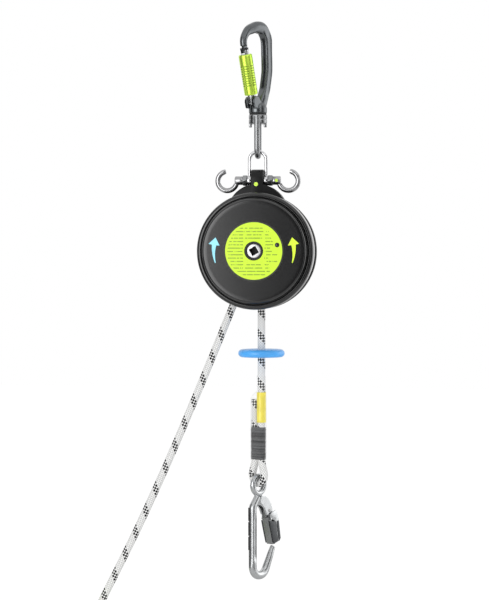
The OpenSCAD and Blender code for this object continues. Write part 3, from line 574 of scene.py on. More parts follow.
def lathe(profile, steps=96, place=None, bm=None):
    """Turns a line of (radius, height) points about z, closes its poles and puts it in place."""
    bm = bm or bmesh.new()
    known = set(bm.verts)
    line = [bm.verts.new((r, 0, z)) for r, z in profile]
    edges = [bm.edges.new(pair) for pair in zip(line, line[1:])]
    bmesh.ops.spin(
        bm, geom=line + edges, cent=(0, 0, 0), axis=(0, 0, 1), angle=2 * math.pi,
        steps=steps, use_merge=True,
    )
    bmesh.ops.remove_doubles(bm, verts=[v for v in bm.verts if v not in known], dist=1e-4)
    return put(bm, [v for v in bm.verts if v not in known], place)


def ring_profile(inner, outer, low, high, soft):
    """Closed line round a ring's section, with its outer corners rounded."""
    chamfer = soft * 0.3
    line = [(inner, low + chamfer), (inner + chamfer, low)] + bend(outer - soft, low + soft, soft, -90, 0, 4)
    line += bend(outer - soft, high - soft, soft, 0, 90, 4) + [(inner + chamfer, high), (inner, high - chamfer)]
    return line + [line[0]]


def mirrored(half, between=()):
    """A profile from its upper half and what lies between the halves."""
    return [(r, -z) for r, z in reversed(half)] + list(between) + half


def prism(outline, low, high, bm=None):
    """Extrudes an outline of the XZ plane from y low to y high."""
    bm = bm or bmesh.new()
    face = bm.faces.new([bm.verts.new((x, low, z)) for x, z in outline])
    made = bmesh.ops.extrude_face_region(bm, geom=[face])["geom"]
    top = [g for g in made if isinstance(g, bmesh.types.BMVert)]
    bmesh.ops.translate(bm, verts=top, vec=(0, high - low, 0))
    return bm


def block(low, high, place=None, bm=None):
    bm = bm or bmesh.new()
    made = bmesh.ops.create_cube(bm, size=1)["verts"]
    bmesh.ops.scale(bm, verts=made, vec=[b - a for a, b in zip(low, high)])
    bmesh.ops.translate(bm, verts=made, vec=[(a + b) / 2 for a, b in zip(low, high)])
    return put(bm, made, place)


def post(radius, depth, place=None, sides=40, bm=None):
    """A cylinder about its place's z axis, or a hexagon when it has six sides."""
    bm = bm or bmesh.new()
    made = bmesh.ops.create_cone(
        bm, cap_ends=True, segments=sides, radius1=radius, radius2=radius, depth=depth,
    )["verts"]
    return put(bm, made, place)


def bevelled(bm, edges, width, segments):
    bmesh.ops.bevel(
        bm, geom=edges, offset=width, offset_type="OFFSET", segments=segments, profile=0.5,
        affect="EDGES", material=-1, clamp_overlap=True,
    )
    return bm


def soften(bm, width, segments=3, angle=40):
    """Rounds every edge sharper than the angle."""
    bmesh.ops.recalc_face_normals(bm, faces=bm.faces)
    limit = math.radians(angle)
    sharp = [e for e in bm.edges if len(e.link_faces) == 2 and e.calc_face_angle(0) > limit]
    return bevelled(bm, sharp, width, segments)


def meshed(name, bm):
    """The mesh that a bmesh holds; the bmesh is used up."""
    mesh = bpy.data.meshes.new(name)
    bm.to_mesh(mesh)
    bm.free()
    return mesh


def linked(name, data):
    obj = bpy.data.objects.new(name, data)
    bpy.context.scene.collection.objects.link(obj)
    return obj


def solid_object(name, bm):
    bmesh.ops.recalc_face_normals(bm, faces=bm.faces)
    return linked(name, meshed(name, bm))


def dropped(obj):
    mesh = obj.data
    bpy.data.objects.remove(obj)
    bpy.data.meshes.remove(mesh)


def shaped(bm, kind, **settings):
    """The mesh after a modifier has worked on it."""
    blank = solid_object("blank", bm)
    modifier = blank.modifiers.new(kind, kind)
    for name, value in settings.items():
        setattr(modifier, name, value)
    done = blank.evaluated_get(bpy.context.evaluated_depsgraph_get())
    result = bmesh.new()
    result.from_mesh(done.to_mesh())
    done.to_mesh_clear()
    dropped(blank)
    return result


def joined(bm, other, operation="DIFFERENCE"):
    """Boolean of two solids, the second cut from the first if nothing else is said; both are used up."""
    tool = solid_object("tool", other)
    result = shaped(bm, "BOOLEAN", operation=operation, solver="EXACT", object=tool)
    dropped(tool)
    return result


def forged(bm, grain, rounds):
    """Melts overlapping solids into one forging with soft fillets where they meet."""
    bm = shaped(bm, "REMESH", mode="VOXEL", voxel_size=grain, use_smooth_shade=True)
    for _ in range(rounds):
        bmesh.ops.smooth_vert(bm, verts=bm.verts, factor=0.5, use_axis_x=True, use_axis_y=True, use_axis_z=True)
    return bm


def piece(name, bm, body, look, nodes, sharp, place=None):
    """Puts a mesh made in millimetres into the frame as a piece of its own.

    look names its finish, and nodes the construction's nodes that it replaces.
    """
    put(bm, bm.verts, place)
    bmesh.ops.scale(bm, verts=bm.verts, vec=(0.001,) * 3)
    obj = solid_object(name, bm)
    mesh = obj.data
    mesh.polygons.foreach_set("use_smooth", [True] * len(mesh.polygons))
    mesh.set_sharp_from_angle(angle=math.radians(sharp))
    mesh.materials.append(finish(look))
    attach(obj, body)
    if nodes:
        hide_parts(*nodes.split())
    return obj


def coat(look, nodes):
    """Gives carried-over construction pieces their finish."""
    material = finish(look)
    for name in nodes.split():
        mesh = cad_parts[name].data
        mesh.materials.clear()
        mesh.materials.append(material)


# ---- Finishes ----

# Each finish: its maker, its colour and the maker's own sizes. A colour is a plain one, or a share of
# one in the panel, and a group's name alone hands the maker the whole group.
FINISHES = {
    "karabiner_grey": (metal, ("metal", "karabiner", 1), 0.27, (0.5, 0.5, 3), 0.008, 0.35, 1.0, 0.15),
    "bright_alloy": (metal, ("metal", "alloy", 1), 0.24, (3, 3, 0.4), 0.008, 0.35),
    "satin_alloy": (metal, ("metal", "alloy", 0.6), 0.42, (3, 3, 0.4), 0.01, 0.35),
    "drive_steel": (metal, (0.85, 0.85, 0.86), 0.5, (2, 2, 2), 0.02, 0.2, 0.85),
    "bright_steel": (metal, ("metal", "steel", 1), 0.17, (1, 1, 1), 0.004, 0.25),
    "horn_steel": (metal, ("metal", "steel", 0.62), 0.24, (2, 2, 2), 0.008, 0.3),
    "grey_steel": (metal, ("metal", "dark_steel", 1), 0.26, (2, 2, 2), 0.012, 0.4),
    "gear_steel": (metal, (0.42, 0.42, 0.42), 0.35, (1, 1, 3), 0.02, 0.4),
    "bronze": (metal, (0.55, 0.36, 0.15), 0.38, (1, 1, 3), 0.02, 0.4),
    "lime_anodised": (ribbed_sleeve, ("metal", "sleeve", 1)),
    "lime_seal": (metal, ("metal", "sleeve", 1), 0.35, (1, 1, 1), 0.02, 0.4, 0.5),
    "lever_grip": (metal, ("metal", "grip", 1), 0.42, (3, 3, 0.5), 0.02, 0.4, 0.8),
    "black_housing": (moulded, ("housing", "shell", 1), 0.18, 1.1, 0.008, 0.3),
    "black_plate": (moulded, ("housing", "plate", 1), 0.4, 1.8, 0.02, 0, 0.22),
    "black_rubber": (moulded, (0.008, 0.008, 0.009), 0.6, 2.2, 0.03),
    "brake_lining": (moulded, (0.11, 0.065, 0.04), 0.8, 0.9, 0.15),
    "ivory_plastic": (moulded, (0.62, 0.57, 0.44), 0.4, 0.8, 0.02),
    "dark_inlay": (moulded, (0.012, 0.012, 0.013), 0.3, 1.5, 0.01, 0.3),
    "blue_stopper": (moulded, ("rope", "blue", 1), 0.34, 0.5, 0.03, 0.2),
    "lime_stopper": (moulded, ("rope", "lime", 1), 0.34, 0.5, 0.03, 0.2),
    "blue_arrow": (moulded, ("housing", "left_arrow", 1), 0.36, 0.6, 0.015, 0.2),
    "lime_arrow": (moulded, ("housing", "right_arrow", 1), 0.36, 0.6, 0.015, 0.2),
    "label_film": (printed_label, "housing"),
    "white_rope": (braided, "rope"),
    "dark_thread": (wound_thread, ("rope", "thread", 1)),
    "marker_film": (marker_film, ("rope", "tag", 1)),
    "clear_film": (clear_film, (0.80, 0.81, 0.80)),
}


def chosen(source):
    if isinstance(source, str):
        return getattr(bpy.context.scene, "descent_" + source)
    if isinstance(source[0], str):
        group, key, share = source
        return dim(getattr(chosen(group), key), share)
    return source


def finish(name):
    """A finish's material, made when it is first asked for."""
    made = bpy.data.materials.get(name + "_finish")
    if made is None:
        maker, source, *sizes = FINISHES[name]
        made = maker(name, chosen(source), *sizes)
    return made


def eased(stops, share):
    """Value between (share, value) stops, eased from one to the next."""
    for (a, low), (b, high) in zip(stops, stops[1:]):
        if share <= b:
            t = max(0.0, (share - a) / (b - a))
            return low + (high - low) * t * t * (3 - 2 * t)
    return stops[-1][1]


def shares(route):
    """How far along the route each point is, from 0 to 1."""
    run = [0.0]
    for a, b in zip(route, route[1:]):
        run.append(run[-1] + (b - a).length)
    return [r / run[-1] for r in run]


# ---- Stage ----


def aimed(obj, spot, aim, axis="-Z"):
    obj.location = spot
    obj.rotation_euler = (aim - Vector(spot)).to_track_quat(axis, "Y").to_euler()


class DESCENT_OT_stage(bpy.types.Operator):
    """Make the floor, the light, the reflector cards and the camera"""

    bl_idname = "descent.stage"
    bl_label = "Stage and camera"

    def execute(self, context):
        scene, look = context.scene, context.scene.descent_stage
        scene.view_settings.view_transform = "Standard"
        self.surroundings(scene, look)
        self.floor()
        aim = Vector((-0.017, 0, -0.3333))
        self.lamp("key_light", (-1.12, -2.3, -0.42), aim, 1.5, 34)
        self.lamp("fill_light", (2.2, -1.5, 0.6), aim, 1.8, 14)
        self.lamp("rim_light", (1.5, 0.75, -0.2), aim, 0.9, 5)
        self.card("side_card", (1.1, -0.5, -0.35), aim, 0.7, 2.2)
        self.card("left_card", (-1.15, -0.15, -0.35), aim, 0.8, 2.2)
        self.card("front_card", (0.4, -2.6, -0.3), aim, 1.9, 2.8)
        self.camera(scene, look, aim)
        return {"FINISHED"}

    def surroundings(self, scene, look):
        """White for the camera and in reflections, and the chosen daylight for all else."""
        scene.world = bpy.data.worlds.new("daylight")
        f = Finish(scene.world)
        camera = f.node("LightPath", output="Is Camera Ray")
        glossy, through = f.outputs(camera, ["Is Glossy Ray", "Is Transmission Ray"])
        seen = camera.most(glossy).most(through)
        strength = f.node("MapRange", {"To Min": look.daylight, "Value": seen})
        f.output(f.node("Background", {"Color": (1, 1, 1), "Strength": strength}), "World")

    def floor(self):
        bm = bmesh.new()
        bmesh.ops.create_grid(bm, x_segments=8, y_segments=8, size=9)
        bmesh.ops.translate(bm, verts=bm.verts, vec=(0, 0, CAD_BOX[0].z - FLOOR_GAP))
        floor = linked("floor", meshed("floor", bm))
        f = Finish("floor_paper")
        seen = f.node("LightPath", output="Is Camera Ray")
        paper = f.node("BsdfDiffuse", {"Color": (0.9, 0.9, 0.9)})
        glow = f.node("Emission", {"Color": (1, 1, 1), "Strength": 0.45})
        both = f.node("AddShader", {0: paper, 1: glow})
        floor.data.materials.append(f.output(f.node("MixShader", {0: seen, 1: paper, 2: both})))

    def lamp(self, name, spot, aim, width, power):
        data = bpy.data.lights.new(name, "AREA")
        data.shape, data.size, data.size_y, data.energy = "RECTANGLE", width, width * 1.5, power
        aimed(linked(name, data), spot, aim)

    def card(self, name, spot, aim, width, height):
        """A dark card beside the device, seen only in its bright metal."""
        bm = bmesh.new()
        bmesh.ops.create_grid(bm, x_segments=1, y_segments=1, size=0.5)
        bmesh.ops.scale(bm, verts=bm.verts, vec=(width, height, 1))
        card = linked(name, meshed(name, bm))
        aimed(card, spot, aim, "Z")
        card.visible_camera = card.visible_diffuse = card.visible_shadow = card.visible_transmission = False
        f = Finish(name)
        card.data.materials.append(f.output(f.node("BsdfDiffuse", {"Color": (0.02, 0.02, 0.022)})))

    def camera(self, scene, look, aim):
        data = bpy.data.cameras.new("camera")
        data.sensor_width = SENSOR
        data.lens = SENSOR * look.distance / look.height
        scene.camera = linked("camera", data)
        a, e = look.azimuth, look.elevation
        back = Vector((math.sin(a) * math.cos(e), -math.cos(a) * math.cos(e), math.sin(e)))
        aimed(scene.camera, aim + back * look.distance, aim)


# ---- Ropes ----

RIGHT_ROUTE = [(4.5, z) for z in (-339, -360, -382, -404, -426, -448, -470, -492, -511, -528.4)]
LEFT_ROUTE = [
    (-31.3, -339.7), (-41.5, -364.7), (-51.7, -389.7), (-62, -414.7), (-72.4, -439.7), (-82.9, -464.7),
    (-93.5, -489.7), (-104.3, -514.7), (-115.2, -539.7), (-126.4, -564.7), (-137.8, -589.7),
    (-149.5, -614.7), (-161.5, -639.7), (-173.9, -664.7), (-186.5, -689.7), (-199.1, -714.7),
    (-212.7, -741.5), (-226.2, -768.3), (-237.5, -790.6), (-248.8, -813), (-260, -835.3), (-271.2, -857.3),
]


def run_route():
    """The rope inside the housing: up past one roller, over the sheave and down past the other."""
    right, left, radius = (15.3, -37), (-28.8, -33), 10.8
    flat = [Vector((4.5, -67))] + arc(right, radius, 180, 139.07) + arc((0, 0), 25, -40.93, 193.71)
    flat += arc(left, radius, 13.71, -22.2) + [Vector((-31.3, -67.7))]
    return [Vector((p.x, 0, p.y + SHAFT_Z)) for p in flat]


def eye_route():
    """The sewn eye: down one strand, round the bight and up the tail, in a rope end's frame."""
    low = EYE_DROP - BIGHT_R
    flat = [(0, -100), (0, -107), (-3.2, -119), (-4.6, -125)]
    flat += [tuple(p) for p in arc((STRANDS / 2, -low), BIGHT_R, 180, 360, 20)]
    flat += [(14.4, -125), (13, -119), (9.8, -107), (9.8, -68.5), (9.8, -30)]
    return [Vector((x, 0, z)) for x, z in flat]


def whole_route(side):
    """One free rope from the housing's mouth through its sewn eye to the end of the tail."""
    free = RIGHT_ROUTE if side == "right" else LEFT_ROUTE
    return even([Vector((x, 0, z)) for x, z in free] + [ENDS[side] @ p for p in eye_route()[1:]], 3.2)


def rope(name, route, nodes):
    ring = oval(ROPE_R, ROPE_R, 2, 24)
    piece(name, sweep(carried(route), lambda i: ring), "housing", "white_rope", nodes, 60)


class DESCENT_OT_ropes(bpy.types.Operator):
    """Make the braided rope: the two free ends with their sewn eyes, and the run round the sheave"""

    bl_idname = "descent.ropes"
    bl_label = "Ropes"

    def execute(self, context):
        for side in ENDS:
            rope(f"rope_{side}", whole_route(side), f"{side}_rope {side}_eye")
        rope("rope_inside", even(run_route(), 3), "rope_run")
        return {"FINISHED"}


class DESCENT_OT_cords(bpy.types.Operator):
    bl_idname = "descent.cords"
    bl_label = "Rope lengths"

    def execute(self, context):
        for side, lay in (("right", "hanging"), ("left", "taut")):
            points = [p / 1000 for p in whole_route(side)]
            length = sum((b - a).length for a, b in zip(points, points[1:]))
        return {"FINISHED"}


# ---- Karabiner ----


class DESCENT_OT_karabiner(bpy.types.Operator):
    """Make the forged karabiner, its gate and its locking sleeve"""

    bl_idname = "descent.karabiner"
    bl_label = "Karabiner"

    def execute(self, context):
        self.forging()
        self.gate()
        self.sleeve()
        coat("bright_steel", "gate_pivot_pin")
        coat("gear_steel", "sleeve_detent_ring")
        return {"FINISHED"}

    def forging(self):
        path = rounded(
            [(-27.5, -16.5), (-29, -8), (-21, 3), (-5, 9), (8, 8.6), (16.5, -3), (18, -45), (13.5, -68),
             (4, -92)],
            [14, 18, 20, 10, 16, 60, 30],
        )
        where = shares(path)
        in_plane = [
            (0, 4.2), (0.06, 4.3), (0.2, 6.6), (0.3, 7.9), (0.4, 7.2), (0.5, 6.2), (0.82, 6.2), (1, 7.2),
        ]
        thick = [(0, 4.4), (0.1, 4.9), (0.26, 6.3), (1, 6.4)]
        channel = [(0, 0), (0.3, 0), (0.42, 1.2), (0.84, 1.2), (0.92, 0), (1, 0)]
        square = [(0, 2.1), (0.3, 2.5), (0.5, 3.2), (1, 2.6)]

        def ring_at(i):
            a, b, depth, power = (eased(stops, where[i]) for stops in (in_plane, thick, channel, square))
            ring = []
            for x, y in oval(a, b, power, 56):
                pocket = max(0.0, 1 - (y / (0.58 * b)) ** 4) * depth if x < -0.6 * a else 0
                side = max(0.0, 1 - (x / (0.55 * a)) ** 4) * depth * 0.8 if abs(y) > 0.6 * b else 0
                ring.append((x + pocket, y - math.copysign(side, y)))
            return ring

        bm = block((-29, -2.5, -25.2), (-23.2, 2.5, -14), bm=sweep(stations(path), ring_at))
        cheek = [
            (-17, -86), (-17, -82.5), (-14.5, -78.8), (-11, -77.8), (-6.5, -79.5), (-2, -86), (-2, -93),
            (-15, -93),
        ]
        for low, high in ((-7.8, -3.3), (3.3, 7.8)):
            prism(cheek, low, high, bm)
        put(bm, bm.verts, KARABINER)
        bell = [
            (0, -98.7), (10.6, -98.7), (11.4, -98.0), (11.5, -96), (11.5, -92.5), (10.6, -89), (8.2, -86.2),
            (4, -85.6), (0, -85.6),
        ]
        bm = forged(lathe(bell, 64, bm=bm), 0.5, 3)
        bm = joined(bm, block((-24, -3.2, -89.5), (-5.2, 3.2, -60), KARABINER))
        piece("karabiner_frame", bm, "karabiner", "karabiner_grey", "karabiner_body", 60)

    def gate(self):
        heights = [0, 1.5, 3, 4.5, 6, 7.2, 8.5, 20, 40, 60, 64, 65.6, 66.2, 66.5]
        widths = [
            (0, 4.4, 3, 3), (3, 4.6, 3, 3), (7, 5, 4.6, 2.2), (8.5, 5, 5, 2), (65.2, 5, 5, 2),
            (66.5, 4.5, 4.5, 2),
        ]

        def ring_at(i):
            a, b, power = (eased([(w[0], w[k]) for w in widths], heights[i]) for k in (1, 2, 3))
            return oval(a, b, power, 40)

        def slot():
            return block((-9, -2.9, 58.5), (9, 2.9, 80))

        bm = joined(sweep([moved(0, 0, t) for t in heights], ring_at), slot())
        eye = lathe(ring_profile(2.05, 5.3, -3, 3, 0.5), 48, turned(13.8, "Y") @ turned(90, "X"))
        bm = joined(bm, eye, "UNION")
        piece("karabiner_gate_bar", bm, "gate", "bright_alloy", "karabiner_gate", 40, GATE)
        bm = joined(lathe(ring_profile(4.6, 5.2, 64.3, 66.9, 0.25), 48), slot())
        piece("gate_tip_band", bm, "gate", "black_rubber", "", 40, GATE)

    def sleeve(self):
        heights = [8, 8.5, 9.2] + [9.2 + 0.78 * k for k in range(1, 62)] + [57.6, 58.1, 58.5]
        sides = 96

        def ring_at(i):
            t = heights[i]
            trim = eased([(8, 0.7), (9.2, 0), (57.2, 0), (58.5, 0.7)], t)
            flute = eased([(8, 1), (43, 1), (47, 0.15), (58.5, 0.15)], t)
            ring = []
            for k in range(sides):
                angle = 2 * math.pi * k / sides
                r = 8.5 - trim - max(0.0, math.cos(6 * angle)) ** 3 * 0.45 * flute - 0.12 * flute
                ring.append((r * math.cos(angle), r * math.sin(angle)))
            return ring

        bm = sweep([moved(0, 0, t) for t in heights], ring_at)
        gone = []
        for face in bm.faces:
            c = face.calc_center_median()
            opening = (c.x > 0 and abs(c.y) < 1.6) or (c.y < 0 and abs(c.x - 2.4) < 1.3)
            if len(face.verts) > 4 or (opening and (c.z > 45.6 or c.z < 16)):
                gone.append(face)
        bmesh.ops.delete(bm, geom=gone, context="FACES")
        bm = shaped(bm, "SOLIDIFY", thickness=3.3, offset=-1)
        piece("locking_sleeve", bm, "sleeve", "lime_anodised", "gate_sleeve", 40, GATE)


# ---- Swivel, link and shackle ----


class DESCENT_OT_swivel(bpy.types.Operator):
    """Make the swivel head and its link"""

    bl_idname = "descent.swivel"
    bl_label = "Swivel"

    def execute(self, context):
        coat("black_rubber", "swivel_washer")
        coat("bright_steel", "swivel_bolt")
        bm = lathe([
            (0, -100.4), (10.4, -100.4), (11.3, -101.1), (11.5, -102), (11.5, -105.4), (11.1, -105.9),
            (11.1, -106.5), (11.5, -107), (11.5, -110.9), (10.9, -111.8), (10.2, -112), (0, -112),
        ], 80)
        for x in (-9.4, 9.4):
            known = set(bm.edges)
            block((x - 1.7, -3, -116.3), (x + 1.7, 3, -111), bm=bm)
            bevelled(bm, [e for e in bm.edges if e not in known], 0.7, 3)
        piece("swivel_crown", bm, "swivel", "grey_steel", "swivel_head", 40)
        path = rounded([(-10.5, -102.4), (-10.5, -152.5), (10.5, -152.5), (10.5, -102.4)], [10.4, 10.4], 3)
        bm = sweep(stations(path), lambda i: oval(3.5, 3.5))
        piece("swivel_link", bm, "swivel", "grey_steel", "link_bow", 50, turned(90, "Z"))
        return {"FINISHED"}


class DESCENT_OT_shackle(bpy.types.Operator):
    """Make the bow shackle, its pin, nuts and seals, and the two horns"""

    bl_idname = "descent.shackle"
    bl_label = "Shackle and horns"

    def execute(self, context):
        coat("bright_steel", "shackle_pin")
        coat("lime_seal", "seal_screws")
        self.bow()
        self.nuts()
        for side, name in ((-1, "left"), (1, "right")):
            self.horn(side, name)
        bm = lathe(ring_profile(2.55, 3.5, -12.5, -11.9, 0.2), 40, moved(-1, 0, -188.1) @ ALONG_Y)
        piece("seal_surround", bm, "housing", "black_rubber", "", 40)
        return {"FINISHED"}

    def bow(self):
        low, high = (BOW_X, PIN_Z), (BOW_X, -170)
        flat = [Vector(low), Vector(high)] + arc((0, -157), BOW_X, 0, 180, 8)
        flat += [Vector((-x, z)) for x, z in (high, low)]
        bm = sweep(stations(flat), lambda i: oval(2.25, 2.25, 2, 28))
        for side in (-1, 1):
            lathe(ring_profile(4.05, 6.4, -2.45, 2.45, 0.8), 56, on_pin(side * BOW_X), bm)
        piece("shackle_bow", bm, "bow", "bright_steel", "bow_shackle", 45)

    def nuts(self):
        bm = bmesh.new()
        for side in (-1, 1):
            post(7.5, 5.5, on_pin(side * 15.95), 6, bm)
        soften(bm, 0.75, 3, 30)
        for side in (-1, 1):
            lathe(ring_profile(4.02, 5.6, -0.35, 0.35, 0.15), 40, on_pin(side * 18.9), bm)
        piece("hex_nuts", bm, "housing", "grey_steel", "pin_nuts", 40)

    def horn(self, side, name):
        route = arc((38.7, -183.5), 12.1, 200, 441, 5)

        def ring_at(i):
            left = (len(route) - 1 - i) / 3
            r = 3.25 * (0.82 + 0.18 * min(1, left) ** 0.5)
            return oval(r, r)

        bm = lathe([
            (4.0, 19.1), (5.0, 19.1), (5.5, 19.6), (5.5, 21.3), (5.2, 21.5), (5.2, 21.9), (5.5, 22.1),
            (5.5, 28.1), (4.9, 28.8), (0.01, 28.8), (0.01, 27.9), (4.0, 27.9), (4.0, 19.1),
        ], 56, on_pin(0), sweep(stations(route), ring_at))
        if side < 0:
            bmesh.ops.scale(bm, verts=bm.verts, vec=(-1, 1, 1))
        piece(f"{name}_horn", bm, "housing", "horn_steel", f"horn_{name}", 45)


# ---- Housing ----


class DESCENT_OT_housing(bpy.types.Operator):
    """Make the two covers, the load plate between them and the cover screws"""

    bl_idname = "descent.housing"
    bl_label = "Housing"

    def execute(self, context):
        self.front()
        self.rear()
        self.plate()
        self.screws()
        return {"FINISHED"}

    def front(self):
        line = [(11.75, -41), (11.75, -43.7), (12.05, -44), (25, -44), (45, -44), (58, -44)]
        line += bend(61.6, -40.6, 3.4, -90, 0, 7) + [(65, -37.3)]
        line += [(65, -34.6), (65.3, -33.9), (66, -33.6), (66.7, -33.9), (67.1, -34.7), (67.6, -35.3)]
        line += bend(68.4, -30.8, 4.6, -90, 0, 7) + [(73, -24), (73, -14)]
        line += bend(72.2, -12.8, 0.8, 0, 90, 3)
        line += [(70, -12), (70, -32.5), (62, -32.5), (62, -41), (11.75, -41)]
        bm = lathe(line, 160, ON_SHAFT)
        piece("cover_front", bm, "housing", "black_housing", "front_cover", 50)

    def rear(self):
        line = [(0, 21), (70, 21), (70, 12), (72.3, 12), (73, 12.7), (73, 19)] + bend(68, 19, 5, 15, 90, 5)
        line += [(58.5, 24), (57.6, 23.6), (56.8, 22.8), (22, 22.8), (20.8, 23.6), (19.8, 24), (0, 24)]
        bores = bmesh.new()
        for angle in SCREW_ANGLES:
            post(4.45, 9, self.at_screw(angle, 22) @ turned(90, "X"), bm=bores)
        bm = joined(lathe(line, 128, ON_SHAFT), bores)
        piece("cover_rear", bm, "housing", "black_housing", "rear_cover", 50)

    def at_screw(self, angle, y):
        a = math.radians(angle)
        return moved(SCREW_RING * math.cos(a), y, SHAFT_Z + SCREW_RING * math.sin(a))

    def screws(self):
        head = joined(soften(post(4.2, 4.1), 0.5, 3, 35), post(2.4, 4, moved(0, 0, 2), 6))
        mesh = meshed("screw", head)
        bm = bmesh.new()
        for angle in SCREW_ANGLES:
            known = set(bm.verts)
            bm.from_mesh(mesh)
            put(bm, [v for v in bm.verts if v not in known], self.at_screw(angle, 21.1) @ ALONG_Y)
        bpy.data.meshes.remove(mesh)
        piece("socket_screws", bm, "housing", "gear_steel", "cover_screws", 40)

    def plate(self):
        def disc(radius, centre_z):
            half = [(radius, 10.8), (radius - 0.35, 11.65), (radius - 1.2, 12), (0, 12)]
            return lathe(mirrored(half), 128, moved(0, 0, centre_z) @ ALONG_Y)

        lug = soften(prism(bend(0, -181.2, 12, 0, 180, 20) + [(-12, -241), (12, -241)], -7.7, 7.7), 1.4, 4)
        put(lug, lug.verts, turned(90, "Z"))
        bm = joined(disc(70, SHAFT_Z), disc(38, -225.5), "UNION")
        bm = joined(bm, lug, "UNION")
        for side in (-1, 1):
            bm = joined(bm, post(8.2, 13, on_pin(side * 14.2), 64))
        bm = joined(bm, lathe([(0, -8.5), (33.5, -8.5), (33.5, 14), (0, 14)], 96, ON_SHAFT))
        flat = [(-37.5, -13), (30, -13), (24, -42), (13.3, -78), (-48.6, -78), (-38.5, -42)]
        bm = joined(bm, prism([(x, z + SHAFT_Z) for x, z in flat], -8.5, 14))
        piece("plate_body", bm, "housing", "black_plate", "load_plate", 35)


class DESCENT_OT_face(bpy.types.Operator):
    """Finish the label and the arrows, and make the seal, the sight lens, the hand drive and a black box of
    painted shade inside its socket
    """

    bl_idname = "descent.face"
    bl_label = "Face"

    def execute(self, context):
        coat("label_film", "rating_label")
        coat("blue_arrow", "arrow_blue")
        coat("lime_arrow", "arrow_lime")
        bm = lathe(ring_profile(9.15, 11.7, -44.9, -41, 0.6), 96, ON_SHAFT)
        lathe(ring_profile(9.15, 14.7, -41, -39, 0.3), 64, ON_SHAFT, bm)
        piece("drive_seal", bm, "housing", "black_rubber", "shaft_seal", 45)
        lens = [(0, -0.75), (1.2, -0.7), (2.2, -0.5), (2.75, -0.15), (2.85, 0.1), (0, 0.1)]
        bm = lathe(lens, 40, moved(29.1, FACE_Y, SHAFT_Z + 7.4) @ ALONG_Y)
        piece("sight_lens", bm, "housing", "dark_inlay", "", 60)
        shaft = [
            (0, -42.8), (8.3, -42.8), (8.9, -42.4), (9.1, -41.8), (9.1, -30.9), (8.7, -30.5), (6, -30.5),
            (6, 20.5), (0, 20.5),
        ]
        tilted = moved(0, 0, SHAFT_Z) @ turned(-30, "Y")
        bm = joined(lathe(shaft, 96, ON_SHAFT), block((-4.75, -50, -4.75), (4.75, -33.3, 4.75), tilted))
        piece("drive_shaft", bm, "shaft", "drive_steel", "main_shaft", 40)
        # painted shade: a thin black open box in the black_rubber finish lines the drive socket, standing for
        # the shade in that recess
        socket_shade_box = block((-4.85, -42.5, -4.85), (4.85, -33.1, 4.85))
        bm = joined(socket_shade_box, block((-4.65, -50, -4.65), (4.65, -33.5, 4.65)))
        piece("socket_blacking", bm, "shaft", "black_rubber", "", 40, tilted)
        return {"FINISHED"}


class DESCENT_OT_works(bpy.types.Operator):
    """Finish the sheave, the gears, the brake and the rollers inside the housing"""

    bl_idname = "descent.works"
    bl_label = "Gears and brake"

    def execute(self, context):
        coat("gear_steel", "rope_sheave planet_carrier ring_gear brake_hub brake_drum roller_pins")
        coat("bronze", "planet_1 planet_2 planet_3 sun_gear shaft_bushes")
        coat("brake_lining", "brake_shoe_1 brake_shoe_2 brake_shoe_3")
        coat("ivory_plastic", "guide_roller_left guide_roller_right")
        coat("black_plate", "rope_guide")
        return {"FINISHED"}


# ---- Rope ends ----


def stadium(radius, reach, sides=44):
    """Ring round two strands: two half circles, the second one reach away along x."""
    ring = []
    for k in range(sides):
        angle = 2 * math.pi * (k + 0.5) / sides
        x = radius * math.cos(angle)
        ring.append((x + (reach if x > 0 else 0), radius * math.sin(angle)))
    return ring


